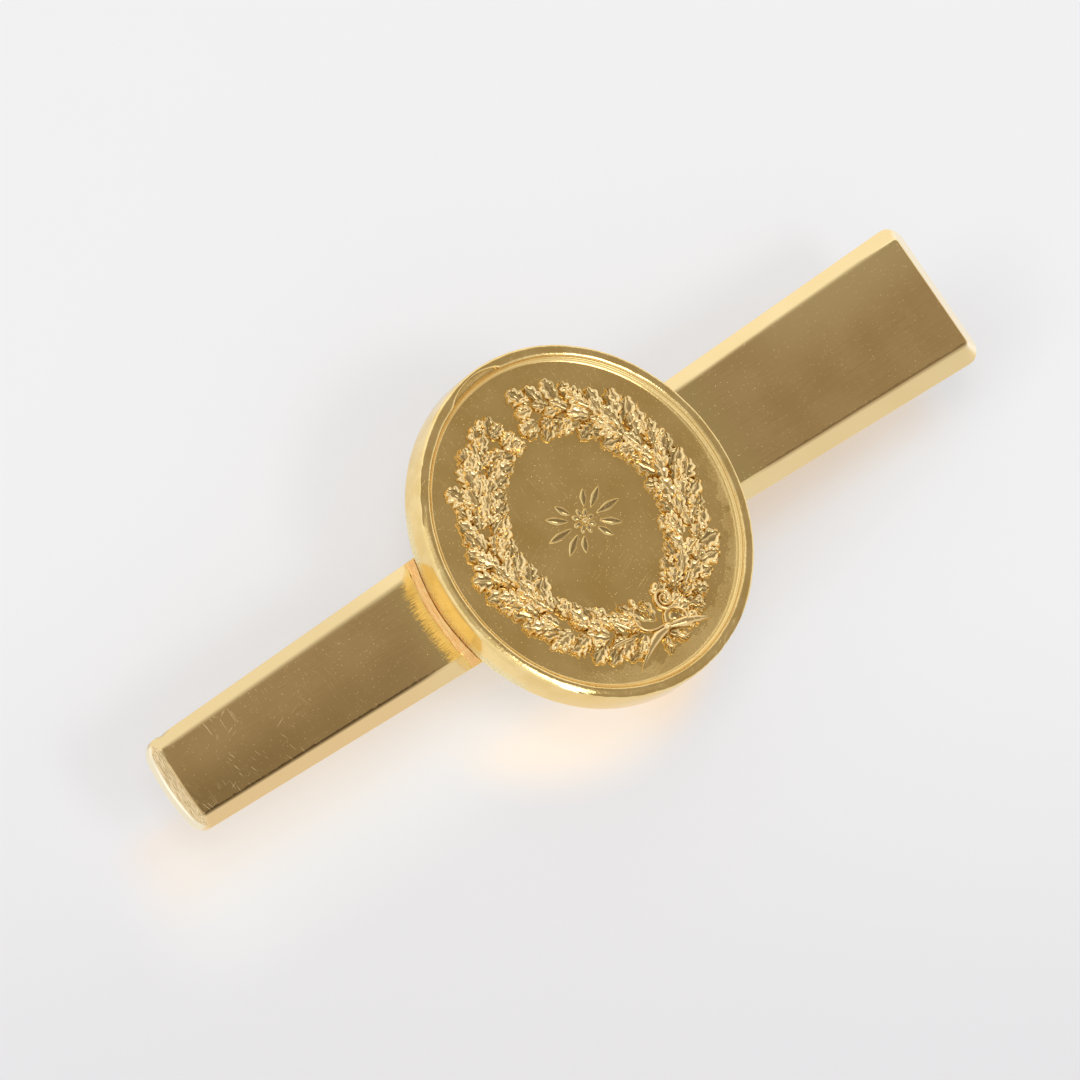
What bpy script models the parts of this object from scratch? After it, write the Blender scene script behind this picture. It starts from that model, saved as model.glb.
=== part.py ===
"""Tie pin: a tapered, bevelled gold bar with a medal in a bezel on its face and a sprung clasp on its back.

Frame: metres, +Z up. +X runs along the bar towards its wide end, +Y towards the top of the medal,
+Z out of the medal's face. The origin is on the table, under the middle of the bar.
"""
import math

import bmesh
import bpy
from mathutils import Matrix, Vector

MM = 0.001

# The bar: a flat tapered plate whose upper edges are bevelled on all four sides.
BAR_LENGTH = 59.8 * MM
BAR_NARROW_WIDTH = 5.35 * MM
BAR_WIDE_WIDTH = 9.1 * MM
BAR_THICKNESS = 1.0 * MM
BAR_BEVEL_RUN = 0.95 * MM
BAR_BEVEL_DROP = 0.46 * MM
BAR_NARROW_BEVEL_SHARE = 0.68
BAR_WIDE_END_SHARE = 0.82
BAR_CORNER_RADIUS = 0.5 * MM
BAR_TOP_CORNER_RADIUS = 0.12 * MM
BAR_UNDER_CHAMFER = 0.08 * MM

# Solder joints, and the gap that each soldered or seated face keeps to its neighbour.
SEAT_GAP = 0.05 * MM
BEZEL_SOLDER_THICKNESS = 0.18 * MM
BEZEL_SOLDER_FILLET = 0.65 * MM
BRACKET_SOLDER_THICKNESS = 0.12 * MM
BRACKET_SOLDER_FILLET = 0.3 * MM

# The bezel: a closed-back cup whose lip is turned in over the edge of the medal.
MEDALLION_X = -0.45 * MM
MEDALLION_Y = -0.18 * MM
BEZEL_RADIUS = 10.1 * MM
BEZEL_WALL = 0.25 * MM
BEZEL_FLOOR = 0.35 * MM
BEZEL_EDGE_ROUND = 0.05 * MM
BEZEL_LIP_WIDTH = 0.65 * MM
BEZEL_LIP_THICKNESS = 0.12 * MM

# The medal: a struck disc with a coved border, a flat field and a raised wreath of oak leaves.
MEDAL_EDGE_THICKNESS = 1.18 * MM
MEDAL_COVE_WIDTH = 0.3 * MM
MEDAL_COVE_DEPTH = 0.16 * MM
MEDAL_EDGE_ROUND = 0.08 * MM
WREATH_RELIEF = 0.2 * MM
WREATH_SINK = 0.1 * MM
WREATH_MIDDLE_SHARES = (0.672, 0.708)
LEAF_PAIRS = 10
LEAF_LENGTH = 2.15 * MM
LEAF_WIDTH = 0.95 * MM
LEAF_LEAN = math.radians(42)
LEAF_STALK = 0.22 * MM
LEAF_TOP_SHARE = 0.45
LEAF_LOBE_SHARES = (
    (-0.5, 0.12), (-0.28, 0.62), (-0.14, 0.5), (0.06, 1.0), (0.2, 0.66), (0.36, 0.72), (0.5, 0.14),
)
BRANCH_FOOT = math.radians(-66)
BRANCH_TIP = math.radians(69)
KNOT_RADIUS = 0.62 * MM
KNOT_SEGMENTS = 12
STEM_LENGTH = 2.3 * MM
STEM_WIDTH = 0.34 * MM
STEM_TIP_SHARE = 0.3
STEM_LEAN = math.radians(24)

# The hinge pin and the torsion spring wound round it.
HINGE_X = 5.0 * MM
PIN_RADIUS = 0.75 * MM
PIN_CLEARANCE = 0.05 * MM
PIN_HEAD_RADIUS = 1.2 * MM
PIN_HEAD_THICKNESS = 0.4 * MM
PIN_HEAD_DOME_SHARE = 0.7
WIRE_DIAMETER = 0.5 * MM
COIL_HALF_TURNS = 5
COIL_TURN_GAP = 0.46 * MM
COIL_PIN_GAP = 0.2 * MM
COIL_END_ROOM = 0.2 * MM
COIL_POINTS_PER_TURN = 10
UPPER_LEG_LENGTH = 3.4 * MM
LOWER_LEG_LENGTH = 6.0 * MM
LEG_GAP = 0.1 * MM

# The bracket: a small inverted channel soldered under the bar, whose ears carry the pin.
BRACKET_SHEET = 0.55 * MM
BRACKET_LENGTH = 8.2 * MM
BRACKET_EAR_RADIUS = 1.45 * MM
BRACKET_EAR_FOOT = 2.6 * MM
BRACKET_LOW_EDGE = 0.2 * MM
COIL_BASE_ROOM = 0.5 * MM

# The clasp arm: one stamped channel with a toothed jaw, two ears and a dished thumb tab.
ARM_SHEET = 0.55 * MM
ARM_INNER_BEND = 0.2 * MM
ARM_LOW_EDGE = 0.12 * MM
ARM_EAR_GAP = 0.1 * MM
ARM_EAR_RADIUS = 1.6 * MM
ARM_EAR_FOOT = 4.2 * MM
COIL_FLOOR_ROOM = 0.98 * MM
JAW_SETBACK = 5.4 * MM
JAW_LENGTH = 7.0 * MM
JAW_HALF_WIDTH = 2.45 * MM
JAW_DEPTH = 2.4 * MM
JAW_GAP = 0.1 * MM
JAW_NOSE_ROUND = 1.0 * MM
JAW_NOSE_SHARE = 0.82
THROAT_RAMP = 4.0 * MM
TOOTH_PITCH = 1.25 * MM
TOOTH_DEPTH = 0.6 * MM
TOOTH_GROOVE_SHARE = 0.8
FRONT_GROOVES = 3
LIP_INSET = 0.05 * MM
TAB_SETBACK = 4.4 * MM
TAB_HALF_WIDTH = 3.8 * MM
TAB_FLARE = 6.0 * MM
TAB_ARCH = 0.8 * MM
TAB_FLAT = 2.2 * MM
TAB_ROUND = 3.0 * MM
TAB_TIP_SHARE = 0.5

CUT_OVERRUN = 0.5 * MM
EAR_SHOULDER_SHARE = 0.8
ROUND_SEGMENTS = 72
PIN_SEGMENTS = 32
CORNER_STEPS = 4
BEND_STEPS = 3
SHARP_ANGLE = math.radians(32)

# Heights, from the table up through the clasp to the face of the medal.
COIL_RADIUS = PIN_RADIUS + COIL_PIN_GAP + WIRE_DIAMETER / 2
COIL_OUTER_RADIUS = COIL_RADIUS + WIRE_DIAMETER / 2
HINGE_Z = ARM_SHEET + COIL_FLOOR_ROOM + COIL_OUTER_RADIUS
BRACKET_BASE_Z = HINGE_Z + COIL_OUTER_RADIUS + COIL_BASE_ROOM
BRACKET_TOP_Z = BRACKET_BASE_Z + BRACKET_SHEET
BAR_UNDERSIDE_Z = BRACKET_TOP_Z + BRACKET_SOLDER_THICKNESS + 2 * SEAT_GAP
BAR_TOP_Z = BAR_UNDERSIDE_Z + BAR_THICKNESS
BEZEL_BASE_Z = BAR_TOP_Z + BEZEL_SOLDER_THICKNESS + 2 * SEAT_GAP
BEZEL_HEIGHT = BEZEL_FLOOR + MEDAL_EDGE_THICKNESS + 2 * SEAT_GAP + BEZEL_LIP_THICKNESS
JAW_EDGE_Z = BAR_UNDERSIDE_Z - JAW_GAP

# Half widths across the hinge, from the coil outwards.
COIL_PITCH = WIRE_DIAMETER + COIL_TURN_GAP
COIL_HALF_LENGTH = (COIL_HALF_TURNS / 2 * COIL_PITCH + WIRE_DIAMETER) / 2
BRACKET_HALF_WIDTH = COIL_HALF_LENGTH + COIL_END_ROOM + BRACKET_SHEET
HINGE_HALF_WIDTH = BRACKET_HALF_WIDTH + ARM_EAR_GAP + ARM_SHEET

# Places along the bar.
BAR_HALF_LENGTH = BAR_LENGTH / 2
JAW_TIP_X = -BAR_HALF_LENGTH + JAW_SETBACK
JAW_BACK_X = JAW_TIP_X + JAW_LENGTH
BELLY_START_X = JAW_BACK_X + THROAT_RAMP
TAB_NECK_X = HINGE_X + ARM_EAR_FOOT
TAB_TIP_X = BAR_HALF_LENGTH - TAB_SETBACK
TAB_FLAT_X = TAB_TIP_X - TAB_FLAT

GOLD = (0.86, 0.62, 0.26, 1.0)
FIELD_GOLD = (0.78, 0.55, 0.22, 1.0)
CLASP_GOLD = (0.80, 0.60, 0.30, 1.0)
COPPER_SOLDER = (0.85, 0.47, 0.24, 1.0)
SPRING_STEEL = (0.62, 0.56, 0.47, 1.0)


def clear_scene():
    """Remove every object that the file opened with."""
    for old in list(bpy.data.objects):
        bpy.data.objects.remove(old, do_unlink=True)


def make_material(name, colour, roughness):
    """Make a plain metal with one colour and one roughness."""
    material = bpy.data.materials.new(name)
    material.use_nodes = True
    shader = material.node_tree.nodes["Principled BSDF"]
    shader.inputs["Base Color"].default_value = colour
    shader.inputs["Metallic"].default_value = 1.0
    shader.inputs["Roughness"].default_value = roughness
    return material


def add_object(name, mesh, location=(0, 0, 0)):
    """Link a mesh to the scene as a named object at its place."""
    added = bpy.data.objects.new(name, mesh)
    added.location = location
    bpy.context.scene.collection.objects.link(added)
    return added


def spread(start, end, count):
    """Return count even steps from start up to, but without, end."""
    return [start + (end - start) * i / count for i in range(count)]


def smooth_step(value, start, end):
    """Return 0 before start and 1 after end, with a smooth rise between them."""
    share = min(max((value - start) / (end - start), 0), 1)
    return share * share * (3 - 2 * share)


def add_loft(shape, rings):
    """Add one closed body to a bmesh: rings of equal length, the first and the last capped."""
    loops = [[shape.verts.new(point) for point in ring] for ring in rings]
    for lower, upper in zip(loops, loops[1:]):
        for i, corner in enumerate(lower):
            j = (i + 1) % len(lower)
            shape.faces.new((corner, lower[j], upper[j], upper[i]))
    shape.faces.new(list(reversed(loops[0])))
    shape.faces.new(loops[-1])


def mesh_from_bodies(name, bodies):
    """Make a mesh from lofted bodies, with its faces pointing out and its curves shaded smooth."""
    shape = bmesh.new()
    for rings in bodies:
        add_loft(shape, rings)
    bmesh.ops.recalc_face_normals(shape, faces=shape.faces)
    mesh = bpy.data.meshes.new(name)
    shape.to_mesh(mesh)
    shape.free()
    mesh.shade_smooth()
    mesh.set_sharp_from_angle(angle=SHARP_ANGLE)
    return mesh


def add_part(name, bodies, material, location=(0, 0, 0)):
    """Add a piece of the tie pin, made of lofted bodies, in its own material."""
    mesh = mesh_from_bodies(name, bodies)
    mesh.materials.append(material)
    return add_object(name, mesh, location)


def add_guide(name, bodies, location=(0, 0, 0)):
    """Add a shape that a Boolean modifier uses and that is not a piece itself."""
    guide = add_object(name, mesh_from_bodies(name, bodies), location)
    guide.hide_render = True
    guide.display_type = "WIRE"
    return guide


def combine(target, guide, operation, overlapping=False):
    """Join a guide to a piece, or cut the piece with it; the guide's own bodies may overlap."""
    modifier = target.modifiers.new(guide.name, "BOOLEAN")
    modifier.operation = operation
    modifier.solver = "EXACT"
    modifier.use_self = overlapping
    modifier.object = guide


def move_origin(piece, pivot):
    """Put a piece's origin on a pivot and leave its shape where it is."""
    piece.data.transform(Matrix.Translation(-Vector(pivot)))
    piece.location = pivot


def round_corners(corners, radius, steps):
    """Replace each corner of a flat outline with an arc."""
    outline = []
    for i, corner in enumerate(corners):
        here = Vector(corner)
        back = (Vector(corners[i - 1]) - here).normalized()
        ahead = (Vector(corners[(i + 1) % len(corners)]) - here).normalized()
        half_angle = back.angle(ahead) / 2
        centre = here + (back + ahead).normalized() * radius / math.sin(half_angle)
        start = here + back * radius / math.tan(half_angle) - centre
        end = here + ahead * radius / math.tan(half_angle) - centre
        outline += [centre + start.slerp(end, step / steps) * radius for step in range(steps + 1)]
    return outline


def raise_outline(outline, height):
    """Lift a flat outline to a height."""
    return [(point[0], point[1], height) for point in outline]


def circle(radius, height, segments=ROUND_SEGMENTS):
    """Return a ring of points round +Z."""
    turn = 2 * math.pi / segments
    return [(radius * math.cos(turn * i), radius * math.sin(turn * i), height) for i in range(segments)]


def bar_taper():
    """Return how fast the half width of the bar grows along +X."""
    return (BAR_WIDE_WIDTH - BAR_NARROW_WIDTH) / 2 / BAR_LENGTH


def bar_half_width(x, inset=0.0):
    """Return the half width of the bar at x, its sides moved in by inset, and by less where it is narrow."""
    middle = (BAR_WIDE_WIDTH + BAR_NARROW_WIDTH) / 4
    share = BAR_NARROW_BEVEL_SHARE + (1 - BAR_NARROW_BEVEL_SHARE) * (x + BAR_HALF_LENGTH) / BAR_LENGTH
    return middle + bar_taper() * x - inset * share * math.hypot(1, bar_taper())


def bar_outline(inset, corner_radius):
    """Return the bar's rounded plan, moved in by inset, and by less at its ends and where it is narrow."""
    wide_end = BAR_HALF_LENGTH - inset * BAR_WIDE_END_SHARE
    narrow_end = inset * BAR_NARROW_BEVEL_SHARE - BAR_HALF_LENGTH
    wide = bar_half_width(wide_end, inset)
    narrow = bar_half_width(narrow_end, inset)
    corners = [(narrow_end, -narrow), (wide_end, -wide), (wide_end, wide), (narrow_end, narrow)]
    return round_corners(corners, corner_radius, CORNER_STEPS)


def build_bar(material):
    """Build the tapered bar with a bevel round its upper face."""
    rings = [
        raise_outline(bar_outline(BAR_UNDER_CHAMFER, BAR_CORNER_RADIUS), 0),
        raise_outline(bar_outline(0, BAR_CORNER_RADIUS), BAR_UNDER_CHAMFER),
        raise_outline(bar_outline(0, BAR_CORNER_RADIUS), BAR_THICKNESS - BAR_BEVEL_DROP),
        raise_outline(bar_outline(BAR_BEVEL_RUN, BAR_TOP_CORNER_RADIUS), BAR_THICKNESS),
    ]
    return add_part("bar", [rings], material, (0, 0, BAR_UNDERSIDE_Z))


def solder_outline(radius, inset):
    """Return the plan of the solder under the bezel: an arc at each end, the bar's top edges between."""
    outline = []
    for side in (-1, 1):
        x = MEDALLION_X + side * radius
        half = bar_half_width(x, BAR_BEVEL_RUN + inset)
        for step in range(BEND_STEPS * 2 + 1):
            y = -side * half * (1 - step / BEND_STEPS)
            reach = math.sqrt(radius ** 2 - (y - MEDALLION_Y) ** 2)
            outline.append((MEDALLION_X + side * reach, -y))
    return outline


def build_bezel_solder(material):
    """Build the solder that joins the bezel to the face of the bar, with a fillet at each end."""
    rings = [
        raise_outline(solder_outline(BEZEL_RADIUS + BEZEL_SOLDER_FILLET, 0), 0),
        raise_outline(solder_outline(BEZEL_RADIUS, BEZEL_SOLDER_THICKNESS), BEZEL_SOLDER_THICKNESS),
    ]
    return add_part("bezel_solder", [rings], material, (0, 0, BAR_TOP_Z + SEAT_GAP))


def build_bezel(material):
    """Build the bezel as a turned cup with its lip turned in."""
    inner = BEZEL_RADIUS - BEZEL_WALL
    lip_inner = BEZEL_RADIUS - BEZEL_LIP_WIDTH
    rounded = BEZEL_RADIUS - BEZEL_EDGE_ROUND
    rings = [
        circle(rounded, 0),
        circle(BEZEL_RADIUS, BEZEL_EDGE_ROUND),
        circle(BEZEL_RADIUS, BEZEL_HEIGHT - BEZEL_EDGE_ROUND),
        circle(rounded, BEZEL_HEIGHT),
        circle(lip_inner, BEZEL_HEIGHT),
        circle(lip_inner, BEZEL_HEIGHT - BEZEL_LIP_THICKNESS),
        circle(inner, BEZEL_HEIGHT - BEZEL_LIP_THICKNESS),
        circle(inner, BEZEL_FLOOR),
    ]
    return add_part("bezel", [rings], material, (MEDALLION_X, MEDALLION_Y, BEZEL_BASE_Z))


def leaf_rings(foot, heading, low, high):
    """Return the rings of one lobed oak leaf, from its sunken base to its raised middle."""
    along = Vector((math.cos(heading), math.sin(heading)))
    across = Vector((-along.y, along.x))
    middle = foot + along * LEAF_LENGTH / 2
    lobes = [
        (along * LEAF_LENGTH * share, across * LEAF_WIDTH / 2 * width) for share, width in LEAF_LOBE_SHARES
    ]
    left = [station + half for station, half in lobes]
    right = [station - half for station, half in lobes]

    def outline(scale, height):
        return raise_outline([middle + point * scale for point in left + right[::-1]], height)

    return [outline(1, low), outline(1, (low + high) / 2), outline(LEAF_TOP_SHARE, high)]


def stem_rings(foot, heading, low, high):
    """Return the rings of one pointed stem below the knot."""
    along = Vector((math.cos(heading), math.sin(heading)))
    across = Vector((-along.y, along.x)) * STEM_WIDTH / 2
    tip = foot + along * STEM_LENGTH
    plan = [foot - across, tip - across * STEM_TIP_SHARE, tip + across * STEM_TIP_SHARE, foot + across]
    return [raise_outline(plan, low), raise_outline(plan, high)]


def build_wreath(field_radius, field_z):
    """Build the raised wreath: two branches of leaf pairs, a knot and two stems."""
    low = field_z - WREATH_SINK
    high = field_z + WREATH_RELIEF
    middle_x = field_radius * WREATH_MIDDLE_SHARES[0]
    middle_y = field_radius * WREATH_MIDDLE_SHARES[1]
    bodies = []
    for side in (1, -1):
        for step in range(LEAF_PAIRS):
            angle = BRANCH_FOOT + (BRANCH_TIP - BRANCH_FOOT) * step / (LEAF_PAIRS - 1)
            place = Vector((side * middle_x * math.cos(angle), middle_y * math.sin(angle)))
            growth = math.atan2(middle_y * math.cos(angle), -side * middle_x * math.sin(angle))
            for lean in (-LEAF_LEAN, LEAF_LEAN):
                heading = growth + lean
                stalk = Vector((math.cos(heading), math.sin(heading))) * LEAF_STALK
                sideways = Vector((-math.sin(growth), math.cos(growth))) * math.copysign(LEAF_STALK, lean)
                bodies.append(leaf_rings(place + stalk + sideways, heading, low, high))
    knot = Vector((0, -middle_y))
    bodies.append([
        [(knot.x + x, knot.y + y, z) for x, y, z in circle(KNOT_RADIUS, height, KNOT_SEGMENTS)]
        for height in (low, high)
    ])
    for side in (1, -1):
        heading = -math.pi / 2 + side * (math.pi / 2 - STEM_LEAN)
        foot = knot + Vector((side * KNOT_RADIUS, -KNOT_RADIUS))
        bodies.append(stem_rings(foot, heading, low, high))
    return bodies


def build_medal(material):
    """Build the struck medal that sits in the bezel."""
    radius = BEZEL_RADIUS - BEZEL_WALL - SEAT_GAP
    cove_radius = BEZEL_RADIUS - BEZEL_LIP_WIDTH - SEAT_GAP
    field_radius = cove_radius - MEDAL_COVE_WIDTH
    field_z = MEDAL_EDGE_THICKNESS - MEDAL_COVE_DEPTH
    rings = [
        circle(radius - MEDAL_EDGE_ROUND, 0),
        circle(radius, MEDAL_EDGE_ROUND),
        circle(radius, MEDAL_EDGE_THICKNESS),
    ]
    for step in range(CORNER_STEPS + 1):
        turn = math.pi / 2 * step / CORNER_STEPS
        rings.append(circle(
            cove_radius - MEDAL_COVE_WIDTH * (1 - math.cos(turn)),
            MEDAL_EDGE_THICKNESS - MEDAL_COVE_DEPTH * math.sin(turn),
        ))
    place = (MEDALLION_X, MEDALLION_Y, BEZEL_BASE_Z + BEZEL_FLOOR + SEAT_GAP)
    medal = add_part("medal", [rings], material, place)
    wreath = add_guide("wreath_relief", build_wreath(field_radius, field_z), place)
    combine(medal, wreath, "UNION", overlapping=True)
    return medal


def channel_section(x, base, edge, half_width, sheet, thickness):
    """Return one cross-section of a channel at x, its base at base and its edges reaching edge."""
    up = math.copysign(1, edge - base)
    outer_bend = sheet + ARM_INNER_BEND
    flank = []
    for side in (1, -1):
        outer = [(side * half_width, edge)]
        inner = [(side * (half_width - sheet), edge)]
        for step in range(BEND_STEPS + 1):
            turn = math.pi / 2 * step / BEND_STEPS
            sideways, drop = math.cos(turn), 1 - math.sin(turn)
            outer.append((side * (half_width - outer_bend * (1 - sideways)), base + up * outer_bend * drop))
            inner.append((
                side * (half_width - sheet - ARM_INNER_BEND * (1 - sideways)),
                base + up * (thickness + ARM_INNER_BEND * drop),
            ))
        flank.append((outer, inner))
    (right_outer, right_inner), (left_outer, left_inner) = flank
    section = right_outer + left_outer[::-1] + left_inner + right_inner[::-1]
    return [(x, y, z) for y, z in section]


def ear_edge(x, base_edge, ear_radius, ear_foot):
    """Return how far an ear reaches at x: a round end about the pin, straight flanks down to its foot."""
    distance = abs(x - HINGE_X)
    shoulder = ear_radius * EAR_SHOULDER_SHARE
    sign = math.copysign(1, HINGE_Z - base_edge)
    if distance <= shoulder:
        return HINGE_Z + sign * math.sqrt(ear_radius ** 2 - distance ** 2)
    top = HINGE_Z + sign * ear_radius * math.sqrt(1 - EAR_SHOULDER_SHARE ** 2)
    share = min((distance - shoulder) / (ear_foot - shoulder), 1)
    return top + (base_edge - top) * share


def ear_stations(ear_radius, ear_foot):
    """Return the places along x that an ear's outline needs."""
    limit = math.asin(EAR_SHOULDER_SHARE)
    steps = 2 * CORNER_STEPS
    arc = [HINGE_X + ear_radius * math.sin(limit * (2 * i / steps - 1)) for i in range(steps + 1)]
    return [HINGE_X - ear_foot] + arc + [HINGE_X + ear_foot]


def pin_ring(radius, y):
    """Return a ring of points round the hinge axis."""
    turn = 2 * math.pi / PIN_SEGMENTS
    return [
        (HINGE_X + radius * math.cos(turn * i), y, HINGE_Z + radius * math.sin(turn * i))
        for i in range(PIN_SEGMENTS)
    ]


def build_pin_hole():
    """Build the guide that drills the ears of the bracket and of the arm."""
    reach = HINGE_HALF_WIDTH + CUT_OVERRUN
    radius = PIN_RADIUS + PIN_CLEARANCE
    return add_guide("pin_hole", [[pin_ring(radius, -reach), pin_ring(radius, reach)]])


def build_pin(material):
    """Build the hinge pin, a rivet with a domed head at each end."""
    under_head = HINGE_HALF_WIDTH + SEAT_GAP
    end = under_head + PIN_HEAD_THICKNESS
    edge = end - PIN_HEAD_THICKNESS / 2
    half = [
        (PIN_HEAD_RADIUS * PIN_HEAD_DOME_SHARE, end),
        (PIN_HEAD_RADIUS, edge),
        (PIN_HEAD_RADIUS, under_head),
        (PIN_RADIUS, under_head),
    ]
    near = [pin_ring(radius, -y) for radius, y in half]
    far = [pin_ring(radius, y) for radius, y in reversed(half)]
    return add_part("hinge_pin", [near + far], material)


def build_bracket(material, pin_hole):
    """Build the inverted channel under the bar whose ears carry the pin."""
    low_edge = BRACKET_TOP_Z - BRACKET_SHEET - ARM_INNER_BEND - BRACKET_LOW_EDGE
    start = HINGE_X - BRACKET_LENGTH / 2
    stations = [start] + ear_stations(BRACKET_EAR_RADIUS, BRACKET_EAR_FOOT) + [start + BRACKET_LENGTH]
    rings = [
        channel_section(
            x, BRACKET_TOP_Z, ear_edge(x, low_edge, BRACKET_EAR_RADIUS, BRACKET_EAR_FOOT),
            BRACKET_HALF_WIDTH, BRACKET_SHEET, BRACKET_SHEET,
        )
        for x in stations
    ]
    bracket = add_part("hinge_bracket", [rings], material)
    combine(bracket, pin_hole, "DIFFERENCE")
    return bracket


def build_bracket_solder(material):
    """Build the solder between the bracket and the underside of the bar."""

    def outline(margin):
        half_x = BRACKET_LENGTH / 2 + margin
        half_y = BRACKET_HALF_WIDTH - BRACKET_SHEET - ARM_INNER_BEND + margin
        corners = [
            (HINGE_X - half_x, -half_y), (HINGE_X + half_x, -half_y),
            (HINGE_X + half_x, half_y), (HINGE_X - half_x, half_y),
        ]
        return round_corners(corners, BRACKET_SOLDER_FILLET, CORNER_STEPS)

    rings = [
        raise_outline(outline(0), 0),
        raise_outline(outline(BRACKET_SOLDER_FILLET), BRACKET_SOLDER_THICKNESS),
    ]
    return add_part("bracket_solder", [rings], material, (0, 0, BRACKET_TOP_Z + SEAT_GAP))


def arm_floor(x):
    """Return the height of the arm's underside: high at the jaw, flat at the belly, arched at the tab."""
    rise = BAR_UNDERSIDE_Z - JAW_DEPTH
    jaw = rise * (1 - smooth_step(x, JAW_TIP_X, BELLY_START_X))
    share = min(max((x - TAB_NECK_X) / (TAB_FLAT_X - TAB_NECK_X), 0), 1)
    return jaw + TAB_ARCH * math.sin(math.pi * share) ** 2


def arm_half_width(x):
    """Return the arm's half width: slim at the jaw, parallel at the hinge, flared at the tab."""
    nose = JAW_NOSE_SHARE + (1 - JAW_NOSE_SHARE) * smooth_step(x, JAW_TIP_X, JAW_TIP_X + JAW_NOSE_ROUND)
    ear_start = HINGE_X - ARM_EAR_FOOT
    if x < ear_start:
        widening = (HINGE_HALF_WIDTH - JAW_HALF_WIDTH) * smooth_step(x, JAW_BACK_X, ear_start)
        return JAW_HALF_WIDTH * nose + widening
    flare = (TAB_HALF_WIDTH - HINGE_HALF_WIDTH) * smooth_step(x, TAB_NECK_X, TAB_NECK_X + TAB_FLARE)
    turn = min(max((x - TAB_TIP_X) / TAB_ROUND + 1, 0), 1)
    return (HINGE_HALF_WIDTH + flare) * (TAB_TIP_SHARE + (1 - TAB_TIP_SHARE) * math.sqrt(1 - turn ** 2))


def arm_edge(x):
    """Return the height of the arm's side walls: tall at the jaw and the ears, low elsewhere."""
    low = arm_floor(x) + ARM_SHEET + ARM_INNER_BEND + ARM_LOW_EDGE
    jaw = low + (JAW_EDGE_Z - low) * (1 - smooth_step(x, JAW_BACK_X, BELLY_START_X))
    if abs(x - HINGE_X) < ARM_EAR_FOOT:
        return ear_edge(x, low, ARM_EAR_RADIUS, ARM_EAR_FOOT)
    return jaw


def arm_stations():
    """Return the places along x where the arm's section is drawn."""
    ears = ear_stations(ARM_EAR_RADIUS, ARM_EAR_FOOT)
    turns = spread(0, math.pi / 2, CORNER_STEPS)
    tip_round = [TAB_TIP_X - TAB_ROUND * (1 - math.sin(turn)) for turn in turns]
    return (
        spread(JAW_TIP_X, JAW_TIP_X + JAW_NOSE_ROUND, BEND_STEPS)
        + spread(JAW_TIP_X + JAW_NOSE_ROUND, JAW_BACK_X, CORNER_STEPS)
        + spread(JAW_BACK_X, BELLY_START_X, 2 * CORNER_STEPS)
        + [BELLY_START_X]
        + ears
        + spread(TAB_NECK_X, TAB_TIP_X - TAB_ROUND, 3 * CORNER_STEPS)[1:]
        + tip_round
        + [TAB_TIP_X]
    )


def arm_section(x):
    """Return the arm's cross-section at x, its sheet as thick on a slope as on the flat."""
    step = TAB_ROUND / ROUND_SEGMENTS
    slope = (arm_floor(x + step) - arm_floor(x - step)) / (2 * step)
    thickness = ARM_SHEET * math.hypot(1, slope)
    return channel_section(x, arm_floor(x), arm_edge(x), arm_half_width(x), ARM_SHEET, thickness)


def box_rings(low, high):
    """Return the two rings of a box between two corners."""
    plan = [(low[0], low[1]), (high[0], low[1]), (high[0], high[1]), (low[0], high[1])]
    return [raise_outline(plan, low[2]), raise_outline(plan, high[2])]


def groove_rings(centre, half_groove, depth, start, end, along_x):
    """Return the rings of a V-shaped cutter that runs from start to end across the jaw's edge."""
    widen = 1 + CUT_OVERRUN / depth
    profile = [
        (centre - half_groove * widen, JAW_EDGE_Z + CUT_OVERRUN),
        (centre, JAW_EDGE_Z - depth),
        (centre + half_groove * widen, JAW_EDGE_Z + CUT_OVERRUN),
    ]
    if along_x:
        return [[(reach, across, z) for across, z in profile] for reach in (start, end)]
    return [[(across, reach, z) for across, z in profile] for reach in (start, end)]


def build_jaw_guides():
    """Build the lip that closes the jaw's front and the grooves that leave teeth on its edges."""
    nose_half = arm_half_width(JAW_TIP_X)
    lip_start = JAW_TIP_X + LIP_INSET
    lip = add_guide("jaw_lip", [box_rings(
        (lip_start, -(nose_half - ARM_SHEET / 2), arm_floor(JAW_TIP_X) + ARM_SHEET / 2),
        (lip_start + ARM_SHEET, nose_half - ARM_SHEET / 2, JAW_EDGE_Z - LIP_INSET),
    )])
    first = lip_start + 2 * ARM_SHEET + TOOTH_PITCH / 2
    count = math.floor((JAW_BACK_X - first) / TOOTH_PITCH) + 1
    reach = JAW_HALF_WIDTH + CUT_OVERRUN
    half_groove = TOOTH_PITCH * TOOTH_GROOVE_SHARE / 2
    side_grooves = add_guide("side_grooves", [
        groove_rings(first + TOOTH_PITCH * i, half_groove, TOOTH_DEPTH, -reach, reach, False)
        for i in range(count)
    ])
    front_pitch = 2 * (nose_half - ARM_SHEET) / FRONT_GROOVES
    front_end = lip_start + ARM_SHEET + LIP_INSET
    front_grooves = add_guide("front_grooves", [
        groove_rings(
            front_pitch * (i - (FRONT_GROOVES - 1) / 2), front_pitch * TOOTH_GROOVE_SHARE / 2, TOOTH_DEPTH,
            JAW_TIP_X - CUT_OVERRUN, front_end, True,
        )
        for i in range(FRONT_GROOVES)
    ])
    return lip, side_grooves, front_grooves


def build_arm(material, pin_hole):
    """Build the stamped clasp arm, its origin on the hinge axis."""
    arm = add_part("clasp_arm", [[arm_section(x) for x in arm_stations()]], material)
    move_origin(arm, (HINGE_X, 0, HINGE_Z))
    lip, side_grooves, front_grooves = build_jaw_guides()
    combine(arm, lip, "UNION")
    combine(arm, side_grooves, "DIFFERENCE")
    combine(arm, front_grooves, "DIFFERENCE")
    combine(arm, pin_hole, "DIFFERENCE")
    return arm


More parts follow.
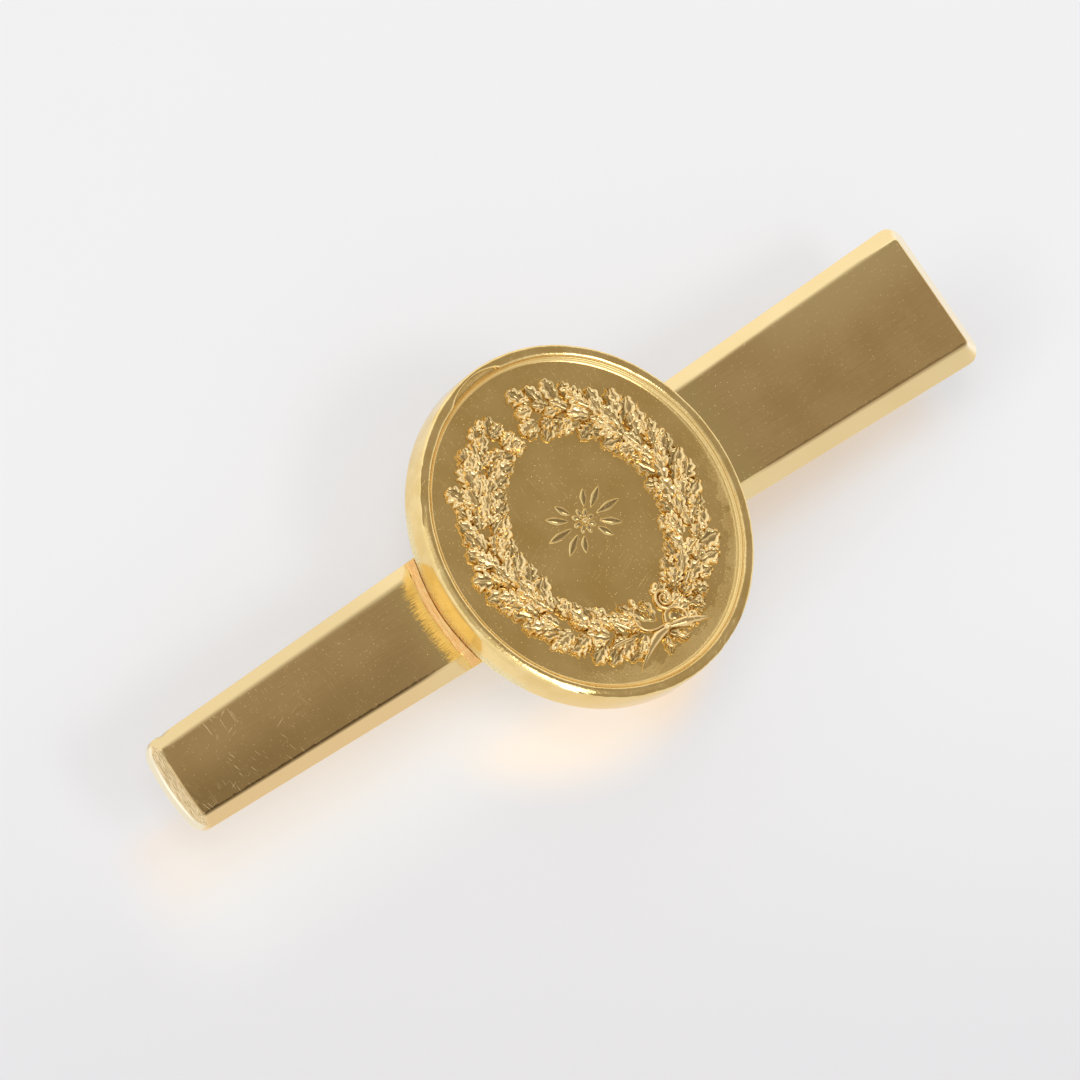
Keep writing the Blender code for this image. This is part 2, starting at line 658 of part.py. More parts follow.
def leg_slope(length, reach):
    """Return the slope of a leg of this length, tangent to the coil, whose end is reach off the axis."""
    return math.asin(reach / math.hypot(COIL_RADIUS, length)) - math.atan2(COIL_RADIUS, length)


def spring_route():
    """Return the wire's route: upper leg, coil and lower leg, relative to the hinge axis."""
    upper = leg_slope(UPPER_LEG_LENGTH, BRACKET_BASE_Z - LEG_GAP - WIRE_DIAMETER / 2 - HINGE_Z)
    lower = leg_slope(LOWER_LEG_LENGTH, HINGE_Z - ARM_SHEET - LEG_GAP - WIRE_DIAMETER / 2)
    first = math.pi / 2 + upper
    last = math.pi / 2 + COIL_HALF_TURNS * math.pi - lower
    steps = math.ceil((last - first) / (2 * math.pi) * COIL_POINTS_PER_TURN)
    end_y = COIL_HALF_LENGTH - WIRE_DIAMETER / 2
    route = []
    for step in range(steps + 1):
        turn = first + (last - first) * step / steps
        y = -end_y + 2 * end_y * step / steps
        route.append(Vector((COIL_RADIUS * math.cos(turn), y, COIL_RADIUS * math.sin(turn))))
    upper_end = route[0] + Vector((math.cos(upper), 0, math.sin(upper))) * UPPER_LEG_LENGTH
    lower_end = route[-1] + Vector((math.cos(lower), 0, -math.sin(lower))) * LOWER_LEG_LENGTH
    upper_bend = upper_end.lerp(route[0], 1 - WIRE_DIAMETER / UPPER_LEG_LENGTH)
    lower_bend = lower_end.lerp(route[-1], 1 - WIRE_DIAMETER / LOWER_LEG_LENGTH)
    return [upper_end, upper_bend] + route + [lower_bend, lower_end]


def least_turn_gap(route):
    """Return the least clear gap between points of the wire that are half a turn or more apart."""
    apart = COIL_POINTS_PER_TURN // 2
    distances = [
        (route[i] - route[j]).length
        for i in range(len(route))
        for j in range(i + apart, len(route))
    ]
    return min(distances) - WIRE_DIAMETER


def build_spring(material):
    """Build the torsion spring as one wire, its origin on the hinge axis."""
    route = spring_route()
    print(f"clasp_spring least gap to itself: {least_turn_gap(route) / MM:.3f} mm")
    curve = bpy.data.curves.new("clasp_spring", "CURVE")
    curve.dimensions = "3D"
    curve.bevel_depth = WIRE_DIAMETER / 2
    curve.bevel_resolution = 1
    curve.use_fill_caps = True
    spline = curve.splines.new("POLY")
    spline.points.add(len(route) - 1)
    for point, place in zip(spline.points, route):
        point.co = (*place, 1)
    curve.materials.append(material)
    return add_object("clasp_spring", curve, (HINGE_X, 0, HINGE_Z))


def main():
    """Build the whole tie pin."""
    clear_scene()
    build_bar(make_material("brushed_gold", GOLD, 0.34))
    build_bezel_solder(make_material("bezel_solder", COPPER_SOLDER, 0.42))
    build_bezel(make_material("polished_gold", GOLD, 0.18))
    build_medal(make_material("struck_gold", FIELD_GOLD, 0.3))
    pin_hole = build_pin_hole()
    build_bracket(make_material("bracket_gold", CLASP_GOLD, 0.36), pin_hole)
    build_bracket_solder(make_material("bracket_solder", COPPER_SOLDER, 0.45))
    build_pin(make_material("pin_gold", CLASP_GOLD, 0.25))
    build_arm(make_material("stamped_gold", CLASP_GOLD, 0.32), pin_hole)
    build_spring(make_material("spring_steel", SPRING_STEEL, 0.3))


main()
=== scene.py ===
"""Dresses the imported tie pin: a tapered gold bar, a struck oak-wreath medal in its bezel, and a sprung clasp.

Every piece is built here, in mesh code or Geometry Nodes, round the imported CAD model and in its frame:
metres, +X along the bar to its wide end, +Y to the top of the medal, +Z out of the medal's face.
"""

from __future__ import annotations

import logging
import math
from collections.abc import Callable, Sequence
from dataclasses import dataclass
from enum import Enum

import bmesh
import bpy
from mathutils import Matrix, Vector, noise

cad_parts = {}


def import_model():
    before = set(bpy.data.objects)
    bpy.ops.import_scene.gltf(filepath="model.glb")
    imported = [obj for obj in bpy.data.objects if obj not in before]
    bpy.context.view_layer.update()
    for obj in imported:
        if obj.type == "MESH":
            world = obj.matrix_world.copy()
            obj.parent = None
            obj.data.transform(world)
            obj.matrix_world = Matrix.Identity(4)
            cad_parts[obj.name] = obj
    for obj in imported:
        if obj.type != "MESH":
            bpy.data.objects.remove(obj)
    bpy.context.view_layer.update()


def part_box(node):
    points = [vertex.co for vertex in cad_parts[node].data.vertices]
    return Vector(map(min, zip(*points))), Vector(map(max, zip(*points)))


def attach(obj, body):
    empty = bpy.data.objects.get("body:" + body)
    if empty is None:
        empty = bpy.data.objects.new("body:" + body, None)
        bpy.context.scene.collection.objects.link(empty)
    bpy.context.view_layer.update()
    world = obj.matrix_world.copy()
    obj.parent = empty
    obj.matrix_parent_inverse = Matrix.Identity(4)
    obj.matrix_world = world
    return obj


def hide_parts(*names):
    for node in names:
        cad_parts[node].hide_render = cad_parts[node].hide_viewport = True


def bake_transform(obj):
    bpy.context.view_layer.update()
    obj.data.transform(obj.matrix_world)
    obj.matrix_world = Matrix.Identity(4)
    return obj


MM = 0.001
SHARP_ANGLE = math.radians(38)
BROKEN_ANGLE = math.radians(52)
MERGE_DISTANCE = 1e-8

Flat = tuple[float, float]
Point = tuple[float, float, float]
Colour = tuple[float, float, float]
Ring = Sequence[Sequence[float]]
Piece = bpy.types.Object
Material = bpy.types.Material

# A dome's rings from its foot up: height and width, as shares.
DOME_STEPS = ((0.0, 1.12), (0.35, 1.0), (0.72, 0.8), (0.94, 0.45), (1.0, 0.12))
# A ridge's section: across and height, as shares. Where it is thinnest it has the least share of its height.
RIDGE_STEPS = ((-0.62, 0), (-0.46, 0.66), (-0.24, 0.93), (0, 1), (0.24, 0.93), (0.46, 0.66), (0.62, 0))
RIDGE_LEAST = 0.55
# Half an oak leaf's section: across, height, and how far the blade sinks between midrib and edge.
LEAF_HALF = (
    (0.12, 0.5, 0.08), (0.34, 0.6, 0.3), (0.6, 0.66, 0.34),
    (0.8, 0.8, 0.14), (0.92, 0.96, 0.0), (1.0, 0.5, 0.0),
)
LEAF_MIDRIB = (0.0, 0.66, 0.0)
LEAF_STEPS = (*((-across, height, cup) for across, height, cup in LEAF_HALF[::-1]), LEAF_MIDRIB, *LEAF_HALF)
# How a sheet's cut edge is rounded, in shares of the rounding: across and down.
EDGE_STEPS = ((1, 0), (0.3, 0.3), (0, 1))

log = logging.getLogger("tie_pin")


class Side(Enum):
    """The two halves of the tie pin, by the sign of X."""

    NARROW = -1
    WIDE = 1


class Body(Enum):
    """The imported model's two moving bodies."""

    FRONT = "front"
    CLASP = "clasp"


# Shapes


def smooth_step(value: float, start: float, end: float) -> float:
    """Rise smoothly from 0 at start to 1 at end.

    Args:
        value: Where on the rise.
        start: The value that gives 0.
        end: The value that gives 1.

    Returns:
        A share from 0 to 1.
    """
    share = clamp((value - start) / (end - start))
    return share * share * (3 - 2 * share)


def ripple(point: Sequence[float], size: float) -> float:
    """Smooth noise from about -0.5 to 0.5 whose lumps are about size across."""
    return noise.noise(Vector(point) / size)


def spread(start: float, end: float, count: int) -> list[float]:
    """Return count + 1 even steps from start to end, both included."""
    return [start + (end - start) * i / count for i in range(count + 1)]


def around(count: int) -> list[Flat]:
    """Return the cosine and sine of count even steps round a circle."""
    return [(math.cos(turn), math.sin(turn)) for turn in spread(0, 2 * math.pi, count)[:-1]]


def patch(value: float, start: float, full: float, fading: float, end: float) -> float:
    """Rise smoothly from 0 at start to 1 at full, and fall from fading back to 0 at end."""
    return smooth_step(value, start, full) - smooth_step(value, fading, end)


def clamp(value: float) -> float:
    """Keep a share between 0 and 1."""
    return min(max(value, 0.0), 1.0)


def soften(corners: Sequence[Point], steps: int = 4) -> list[Flat]:
    """Round the corners of an open profile.

    Args:
        corners: Each corner as (across, height, how far from it the rounding starts).
        steps: Segments in each rounding.

    Returns:
        The rounded profile.
    """
    rounded: list[Flat] = [corners[0][:2]]
    for before, here, after in zip(corners, corners[1:], corners[2:]):
        corner = Vector(here[:2])
        start = corner + (Vector(before[:2]) - corner).normalized() * here[2]
        end = corner + (Vector(after[:2]) - corner).normalized() * here[2]
        for share in spread(0, 1, steps if here[2] else 0) if here[2] else [0.0]:
            rounded.append(tuple(start.lerp(corner, share).lerp(corner.lerp(end, share), share)))
    rounded.append(corners[-1][:2])
    return rounded


def smooth_path(knots: Sequence[Flat], steps: int) -> list[Vector]:
    """Draw a Catmull-Rom curve through flat points.

    Args:
        knots: The points that it passes.
        steps: Segments between two of them.

    Returns:
        The curve's points.
    """
    ends = [Vector(knots[0]), *(Vector(knot) for knot in knots), Vector(knots[-1])]
    path = []
    for a, b, c, d in zip(ends, ends[1:], ends[2:], ends[3:]):
        for i in range(steps):
            t = i / steps
            bend, twist = a * 2 - b * 5 + c * 4 - d, b * 3 - a - c * 3 + d
            path.append((b * 2 + (c - a) * t + bend * t * t + twist * t * t * t) / 2)
    return [*path, ends[-1]]


class Skin:
    """Collects points and faces, and makes them one piece."""

    def __init__(self, rings: Sequence[Ring] = ()) -> None:
        """Start with one lofted body, or with nothing."""
        self.points: list[Point] = []
        self.faces: list[tuple[int, ...]] = []
        if rings:
            self.loft(rings)

    def ring(self, points: Ring) -> list[int]:
        """Add points, and return their numbers."""
        start = len(self.points)
        self.points.extend(tuple(point) for point in points)
        return list(range(start, len(self.points)))

    def loft(self, rings: Sequence[Ring]) -> None:
        """Add one closed body from rings of equal length, with its first and last ring capped."""
        loops = [self.ring(ring) for ring in rings]
        for lower, upper in zip(loops, loops[1:]):
            for i, corner in enumerate(lower):
                j = (i + 1) % len(lower)
                self.faces.append((corner, lower[j], upper[j], upper[i]))
        self.faces += [tuple(reversed(loops[0])), tuple(loops[-1])]

    def dome(
        self, centre: Flat, radii: Flat, heading: float, floor: float, crest: float, sides: int = 12
    ) -> None:
        """Add a raised oval button.

        Args:
            centre: Its middle in plan.
            radii: Half its length and half its width.
            heading: The direction of its length.
            floor: The height of its foot.
            crest: The height of its top.
            sides: Points round it.
        """
        turn = Matrix.Rotation(heading, 2)
        rings = []
        for share, width in DOME_STEPS:
            ring = []
            for cosine, sine in around(sides):
                x, y = turn @ Vector((radii[0] * width * cosine, radii[1] * width * sine))
                ring.append((centre[0] + x, centre[1] + y, floor + (crest - floor) * share))
            rings.append(ring)
        self.loft(rings)

    def stroke(
        self, path: Sequence[Vector], widths: Sequence[float], floor: float, crest: float
    ) -> None:
        """Add a raised line of changing width, ridged like a struck scroll.

        Args:
            path: The points along its middle.
            widths: Its widths, spread evenly along the path.
            floor: The height of its foot.
            crest: The height of its ridge where it is widest.
        """
        widest = max(widths)
        rings = []
        for i, place in enumerate(path):
            along = (path[min(i + 1, len(path) - 1)] - path[max(i - 1, 0)]).normalized()
            across = Vector((-along.y, along.x))
            where = i / (len(path) - 1) * (len(widths) - 1)
            first = min(int(where), len(widths) - 2)
            width = widths[first] + (widths[first + 1] - widths[first]) * (where - first)
            rise = (crest - floor) * (RIDGE_LEAST + (1 - RIDGE_LEAST) * width / widest)
            rings.append([
                (*(place + across * width * side), floor + rise * share) for side, share in RIDGE_STEPS
            ])
        self.loft(rings)

    def mesh(self, name: str) -> bpy.types.Mesh:
        """Return the points and faces as a mesh."""
        made = bpy.data.meshes.new(name)
        made.from_pydata(self.points, [], self.faces)
        return made

    def build(self, name: str, material: Material, edge: float = 0.0) -> Piece:
        """Make the piece.

        Args:
            name: The piece's name.
            material: Its finish.
            edge: How wide its sharp edges are broken, or 0 to leave them.

        Returns:
            The piece, at the origin, with its place in its mesh.
        """
        return finish_mesh(name, self.mesh(name), material, edge)


def add_object(name: str, data: bpy.types.ID) -> Piece:
    """Make an object of some data, and link it to the scene."""
    made = bpy.data.objects.new(name, data)
    bpy.context.scene.collection.objects.link(made)
    return made


def finish_mesh(name: str, mesh: bpy.types.Mesh, material: Material, edge: float = 0.0) -> Piece:
    """Close a mesh, turn its faces out, break its sharp edges and link it as a piece.

    Args:
        name: The piece's name.
        mesh: Its mesh.
        material: Its finish.
        edge: How wide its sharp edges are broken, or 0 to leave them.

    Returns:
        The piece.
    """
    shape = bmesh.new()
    shape.from_mesh(mesh)
    bmesh.ops.remove_doubles(shape, verts=shape.verts, dist=MERGE_DISTANCE)
    bmesh.ops.recalc_face_normals(shape, faces=shape.faces)
    shape.to_mesh(mesh)
    shape.free()
    mesh.materials.clear()
    mesh.materials.append(material)
    piece = add_object(name, mesh)
    if edge:
        bevel = piece.modifiers.new("broken_edge", "BEVEL")
        bevel.width = edge
        bevel.segments = 2
        bevel.angle_limit = BROKEN_ANGLE
        piece = make_plain(piece)
    piece.data.shade_smooth()
    piece.data.set_sharp_from_angle(angle=SHARP_ANGLE)
    return piece


def make_plain(piece: Piece) -> Piece:
    """Turn a piece's modifiers into plain mesh, and take them off."""
    bpy.context.view_layer.update()
    graph = bpy.context.evaluated_depsgraph_get()
    solved = piece.evaluated_get(graph)
    mesh = bpy.data.meshes.new_from_object(solved, preserve_all_data_layers=True, depsgraph=graph)
    piece.modifiers.clear()
    piece.data = mesh
    return piece


# Nodes


class Wire:
    """An output socket that Python's operators join to Math nodes."""

    def __init__(self, bench: NodeBench, socket: bpy.types.NodeSocket) -> None:
        """Wrap one output socket of a bench's tree."""
        self.bench = bench
        self.socket = socket

    def math(self, operation: str, *others: Wire | float) -> Wire:
        """Add a Math node whose first input is this wire."""
        return self.bench.add("ShaderNodeMath", {"operation": operation}, dict(enumerate((self, *others))))

    def __add__(self, other: Wire | float) -> Wire:
        """Add."""
        return self.math("ADD", other)

    __radd__ = __add__

    def __sub__(self, other: Wire | float) -> Wire:
        """Subtract."""
        return self.math("SUBTRACT", other)

    def __rsub__(self, other: float) -> Wire:
        """Subtract this wire from a number."""
        return self.math("MULTIPLY", -1.0) + other

    def __mul__(self, other: Wire | float) -> Wire:
        """Multiply."""
        return self.math("MULTIPLY", other)

    def __truediv__(self, other: Wire | float) -> Wire:
        """Divide."""
        return self.math("DIVIDE", other)

    def __abs__(self) -> Wire:
        """Drop the sign."""
        return self.math("ABSOLUTE")


class NodeBench:
    """Adds nodes to one tree: a material's, the world's or a Geometry Nodes group's."""

    def __init__(self, tree: bpy.types.NodeTree) -> None:
        """Work on a tree."""
        self.tree = tree

    def node(self, kind: str, settings: dict | None = None, inputs: dict | None = None) -> bpy.types.Node:
        """Add any node.

        Args:
            kind: Blender's name for the node's type.
            settings: Its properties, set before its sockets.
            inputs: Values or wires, by socket name or number.

        Returns:
            The node.
        """
        made = self.tree.nodes.new(kind)
        for key, value in (settings or {}).items():
            setattr(made, key, value)
        self.fill(made, inputs or {})
        return made

    def fill(self, node: bpy.types.Node, inputs: dict) -> None:
        """Give a node's sockets their values or wires, by socket name or number."""
        for key, value in inputs.items():
            if isinstance(value, Wire):
                self.tree.links.new(value.socket, node.inputs[key])
            else:
                node.inputs[key].default_value = value

    def add(
        self, kind: str, settings: dict | None = None, inputs: dict | None = None, output: int | str = 0
    ) -> Wire:
        """Add any node, and return the wire from one of its outputs."""
        return Wire(self, self.node(kind, settings, inputs).outputs[output])

    def place(self) -> Wire:
        """Return the Object coordinates."""
        return self.add("ShaderNodeTexCoord", output="Object")

    def axis(self, at: Wire, name: str) -> Wire:
        """Return one coordinate of a vector."""
        return self.add("ShaderNodeSeparateXYZ", {}, {0: at}, output=name)

    def rise(self, value: Wire, start: float, end: float, low: float = 0.0, high: float = 1.0) -> Wire:
        """Map a value from start..end to low..high, smoothly and clamped."""
        limits = {0: value, 1: start, 2: end, 3: low, 4: high}
        return self.add("ShaderNodeMapRange", {"interpolation_type": "SMOOTHSTEP"}, limits)

    def band(self, value: Wire, start: float, full: float, fading: float, end: float) -> Wire:
        """Rise from 0 at start to 1 at full, and fall from fading back to 0 at end."""
        return self.rise(value, start, full) * self.rise(value, end, fading)

    def grain(
        self, at: Wire, size: float, detail: float = 2.0, heading: float = 0.0, stretch: float = 1.0
    ) -> Wire:
        """Add noise.

        Args:
            at: The coordinates.
            size: How big its lumps are.
            detail: How many finer layers it has.
            heading: The direction in which it is stretched.
            stretch: How many times longer its lumps are in that direction.

        Returns:
            Noise about 0.5.
        """
        if stretch != 1.0:
            stretched = {0: at, 2: (0, 0, heading), 3: (stretch, 1, 1)}
            at = self.add("ShaderNodeMapping", {"vector_type": "TEXTURE"}, stretched)
        return self.add("ShaderNodeTexNoise", {}, {"Vector": at, "Scale": 1 / size, "Detail": detail})

    def scratches(self, at: Wire, *kinds: tuple[float, float, float, float]) -> Wire:
        """Add up masks of thin straight scratches that lie in patches.

        Args:
            at: The coordinates.
            kinds: The width, length, heading in degrees and threshold of each kind. More is sparser.

        Returns:
            The sum of the masks.
        """
        masks = []
        for width, length, degrees, threshold in kinds:
            heading = math.radians(degrees)
            lines = self.grain(at, width, 0.0, heading, length / width)
            patches = self.grain(at, length * 2.2, 1.0, heading + 0.7, 1.3)
            masks.append(self.rise(lines, threshold, threshold + 0.08) * self.rise(patches, 0.45, 0.62))
        return sum(masks[1:], masks[0])

    def tint(self, factor: Wire, low: Colour | Wire, high: Colour | Wire) -> Wire:
        """Mix two colours."""
        low, high = (side if isinstance(side, Wire) else (*side, 1) for side in (low, high))
        return self.add("ShaderNodeMix", {"data_type": "RGBA"}, {0: factor, 6: low, 7: high}, output=2)

    def coats(self, under: Wire, *coats: tuple[Wire, Colour | Wire]) -> Wire:
        """Lay colours over a colour, one after another, each by its own mask."""
        for mask, colour in coats:
            under = self.tint(mask, under, colour)
        return under

    def relief(self, height: Wire, depth: float, normal: Wire | None = None) -> Wire:
        """Turn a height into a bumped normal."""
        under = {"Normal": normal} if normal else {}
        return self.add("ShaderNodeBump", {}, {"Strength": 1.0, "Distance": depth, "Height": height, **under})

    def lean(self, amount: Wire) -> Wire:
        """Return the surface's normal, leant along X by an amount."""
        push = self.add("ShaderNodeCombineXYZ", {}, {0: amount})
        straight = self.add("ShaderNodeNewGeometry", output="Normal")
        leant = self.add("ShaderNodeVectorMath", {"operation": "ADD"}, {0: straight, 1: push})
        return self.add("ShaderNodeVectorMath", {"operation": "NORMALIZE"}, {0: leant})


class Tone:
    """The metals' own tones and painted light and shade, adjusted until the render looked like the photograph."""

    SHADED = (0.5, 0.35, 0.155)
    RUBBED = (1.0, 0.8, 0.42)
    SCRATCHED = (1.0, 0.84, 0.54)
    MIRROR = (0.9, 0.72, 0.34)
    BEVEL_DEEP, BEVEL_PALE = (0.93, 0.71, 0.35), (0.98, 0.79, 0.43)
    UPPER_BEVEL, LOWER_BEVEL = (0.7, 0.54, 0.28), (0.93, 0.66, 0.33)
    FILED_DEEP, FILED_PALE = (0.58, 0.42, 0.19), (0.9, 0.7, 0.42)
    END_RIM, END_CORNER = (1.0, 0.9, 0.66), (1.0, 0.88, 0.66)
    SEAM = (0.16, 0.1, 0.04)
    WALL_DEEP, WALL_PALE = (1.0, 0.66, 0.22), (1.0, 0.74, 0.3)
    HEATED, GRIT = (1.0, 0.93, 0.6), (0.42, 0.27, 0.08)
    COVE = (0.56, 0.38, 0.13)
    LEAF_DEEP, LEAF_PALE = (0.5, 0.36, 0.15), (0.96, 0.72, 0.35)
    BURNT = (0.42, 0.2, 0.1)


@dataclass(frozen=True)
class MetalFinish:
    """A metal with a pale and a deep tone. Each kind of finish gives its own pattern."""

    name: str
    pale: Colour
    deep: Colour
    roughness: float

    def pattern(self, bench: NodeBench) -> tuple[Wire, Wire, Wire]:
        """Return the colour, the roughness and the normal: here plain mottled metal."""
        at = bench.place()
        cloud = bench.grain(at, 1.6 * MM, 3.0)
        fine = bench.grain(at, 0.12 * MM, 2.0)
        colour = bench.tint(bench.rise(cloud, 0.35, 0.65), self.deep, self.pale)
        rough = (cloud - 0.5) * 0.12 + (fine - 0.5) * 0.08 + self.roughness
        return colour, rough, bench.relief(fine, 0.004 * MM)

    def material(self) -> Material:
        """Make the finish's material."""
        made = bpy.data.materials.new(self.name)
        made.use_nodes = True
        bench = NodeBench(made.node_tree)
        colour, rough, normal = self.pattern(bench)
        bench.fill(
            made.node_tree.nodes["Principled BSDF"],
            {"Metallic": 1.0, "Base Color": colour, "Roughness": rough, "Normal": normal},
        )
        return made


@dataclass(frozen=True)
class BarFinish(MetalFinish):
    """Satin on the flat top, brushed along the bar by the bezel, with polished bevels and a filed end."""

    top: float
    lower_edge: Flat
    end_corner: float
    polish: float = 0.12
    bezel_side: float = 11.5 * MM
    filed_from: float = -29.2 * MM

    def pattern(self, bench: NodeBench) -> tuple[Wire, Wire, Wire]:
        """Return the colour, the roughness and the normal."""
        at = bench.place()
        x, y, z = (bench.axis(at, name) for name in "XYZ")
        flat = bench.rise(z, self.top - 0.1 * MM, self.top - 0.002 * MM)
        cloud = bench.grain(at, 3.0 * MM, 3.0)
        brush = bench.grain(at, 0.07 * MM, 2.0, 0.0, 40.0)
        specks = bench.rise(bench.grain(at, 0.1 * MM, 0.0), 0.79, 0.83)
        near_bezel = bench.rise(abs(x), 17 * MM, self.bezel_side)
        # Polish on the top next to the bezel, and a painted reflection of the bezel's wall in its colour.
        mirror = bench.rise(abs(x), 13.5 * MM, self.bezel_side)
        narrow_half = bench.rise(x, -9 * MM, -16 * MM)
        worn_end = bench.rise(x, -20 * MM, -27 * MM)
        facet = bench.rise(x, self.filed_from + 0.05 * MM, self.filed_from) * bench.band(
            z, self.top - 0.4 * MM, self.top - 0.36 * MM, self.top - 0.05 * MM, self.top - 0.02 * MM
        )
        sloping = 1 - flat
        # Painted highlight on the sloping faces round the wide end.
        end_corner = bench.rise(x - abs(y), self.end_corner - 0.3 * MM, self.end_corner + 0.3 * MM) * sloping
        # Painted highlight round the filed facet of the narrow end.
        end_rim = bench.rise(x + (cloud - 0.5) * 0.3 * MM, self.filed_from, self.filed_from - 0.25 * MM)
        end_rim = end_rim * (1 - facet) * sloping
        marks = bench.scratches(
            at,
            (0.055 * MM, 1.3 * MM, 91, 0.72),
            (0.055 * MM, 1.0 * MM, 112, 0.73),
            (0.05 * MM, 1.2 * MM, 20, 0.76),
        ) * (worn_end * 0.5 + narrow_half * 0.2 + 0.15)
        filed = bench.rise(bench.grain(at, 0.035 * MM, 2.0, math.radians(86), 16.0), 0.3, 0.6)
        edge_distance = y - x * self.lower_edge[0] - self.lower_edge[1]
        ragged = bench.grain(at, 0.14 * MM, 3.0, 0.0, 2.5) - 0.5
        # A near-black line painted along the flat top's lower edge, over a shallow groove in the bump.
        seam = bench.rise(edge_distance + ragged * 0.2 * MM, 0.13 * MM, 0.05 * MM)
        seam = seam * (narrow_half * 0.45 + 0.4) * flat * bench.rise(abs(x), self.bezel_side, 14 * MM)
        # Painted shade: the satin top darkens towards its lower edge, on the narrow half and most at the narrow
        # end.
        shaded = bench.rise(edge_distance, 3.0 * MM, 0.6 * MM) * (narrow_half * 0.38 + worn_end * 0.3)
        upper_distance = x * -self.lower_edge[0] - self.lower_edge[1] - y
        # Painted sheen: the satin top lightens towards its upper edge, most towards the wide end.
        rubbed = bench.rise(upper_distance, 4.0 * MM, 0.0) * (bench.rise(x, 12 * MM, 23 * MM) * 0.8 + 0.1)
        tone = bench.rise(cloud + (brush - 0.5) * (near_bezel * 0.4 + 0.4), 0.3, 0.7)
        satin = bench.coats(
            bench.tint(tone, self.deep, self.pale),
            (shaded, Tone.SHADED), (rubbed, Tone.RUBBED),
            (marks * tone, Tone.SCRATCHED), (mirror * 0.7, Tone.MIRROR),
        )
        upper_side = bench.rise(y, 0.0, 0.5 * MM)
        # Painted shade on the bevels: the upper bevel all along, most on the narrow half, and the lower bevel on
        # the narrow half.
        bevel = bench.coats(
            bench.tint(cloud, Tone.BEVEL_DEEP, Tone.BEVEL_PALE),
            (upper_side * (narrow_half * 0.43 + 0.25), Tone.UPPER_BEVEL),
            ((1 - upper_side) * narrow_half * 0.7, Tone.LOWER_BEVEL),
            (facet, bench.tint(filed, Tone.FILED_DEEP, Tone.FILED_PALE)),
            (end_rim, Tone.END_RIM), (end_corner, Tone.END_CORNER),
        )
        colour = bench.coats(bevel, (flat, satin), (seam, Tone.SEAM))
        rough = (
            flat * (self.roughness - self.polish + (cloud - 0.5) * 0.06 - mirror * 0.13)
            + marks * 0.2
            + facet * (filed * 0.15 + 0.1)
            + self.polish
        )
        height = brush * flat * (near_bezel * 1.2 + narrow_half * 0.3 + 0.15)
        height = height + (specks * 0.9 - marks * 0.8) * flat + filed * facet * 1.2 - seam * 1.5
        streaks = bench.grain(at, 0.035 * MM, 2.0, 0.0, 14.0) - 0.5
        leant = bench.lean(streaks * flat * mirror * 0.3)
        return colour, rough, bench.relief(height, 0.006 * MM, leant)


@dataclass(frozen=True)
class BezelFinish(MetalFinish):
    """Polished by hand: soft dents on the wall, fine nicks along the rim, grit where the solder was."""

    rim: float

    def pattern(self, bench: NodeBench) -> tuple[Wire, Wire, Wire]:
        """Return the colour, the roughness and the normal."""
        at = bench.place()
        dents = bench.grain(at, 1.3 * MM, 2.0)
        fine = bench.grain(at, 0.14 * MM, 2.0)
        marks = bench.scratches(at, (0.05 * MM, 0.8 * MM, 35, 0.74)) * 0.5
        edge = bench.rise(bench.axis(at, "Z"), self.rim - 0.35 * MM, self.rim)
        foot = bench.rise(bench.axis(at, "Z"), self.rim - 1.0 * MM, self.rim - 1.6 * MM)
        heated = foot * bench.rise(abs(bench.axis(at, "X")), 8.6 * MM, 9.2 * MM)
        # Painted reflection: below the rim, the bezel's side towards the bottom of the medal is tinted deeper
        # orange.
        lower = bench.rise(bench.axis(at, "Y"), -4 * MM, -9 * MM) * (1 - edge)
        grit = bench.rise(bench.grain(at, 0.06 * MM, 1.0), 0.56, 0.66)
        colour = bench.coats(
            bench.tint(bench.rise(dents, 0.35, 0.65), self.deep, self.pale),
            (lower * 0.8, bench.tint(fine, Tone.WALL_DEEP, Tone.WALL_PALE)),
            (heated * (0.4 + fine * 0.6), Tone.HEATED), (heated * grit * 0.5, Tone.GRIT),
        )
        rough = (dents - 0.5) * 0.1 + marks * 0.2 + edge * (fine - 0.4) * 0.2
        rough = rough + heated * fine * 0.4 + self.roughness
        height = dents * 2.2 + fine * (edge * 0.9 + 0.15 + heated * 1.6) - marks - grit * heated * 0.8
        return colour, rough, bench.relief(height, 0.008 * MM)


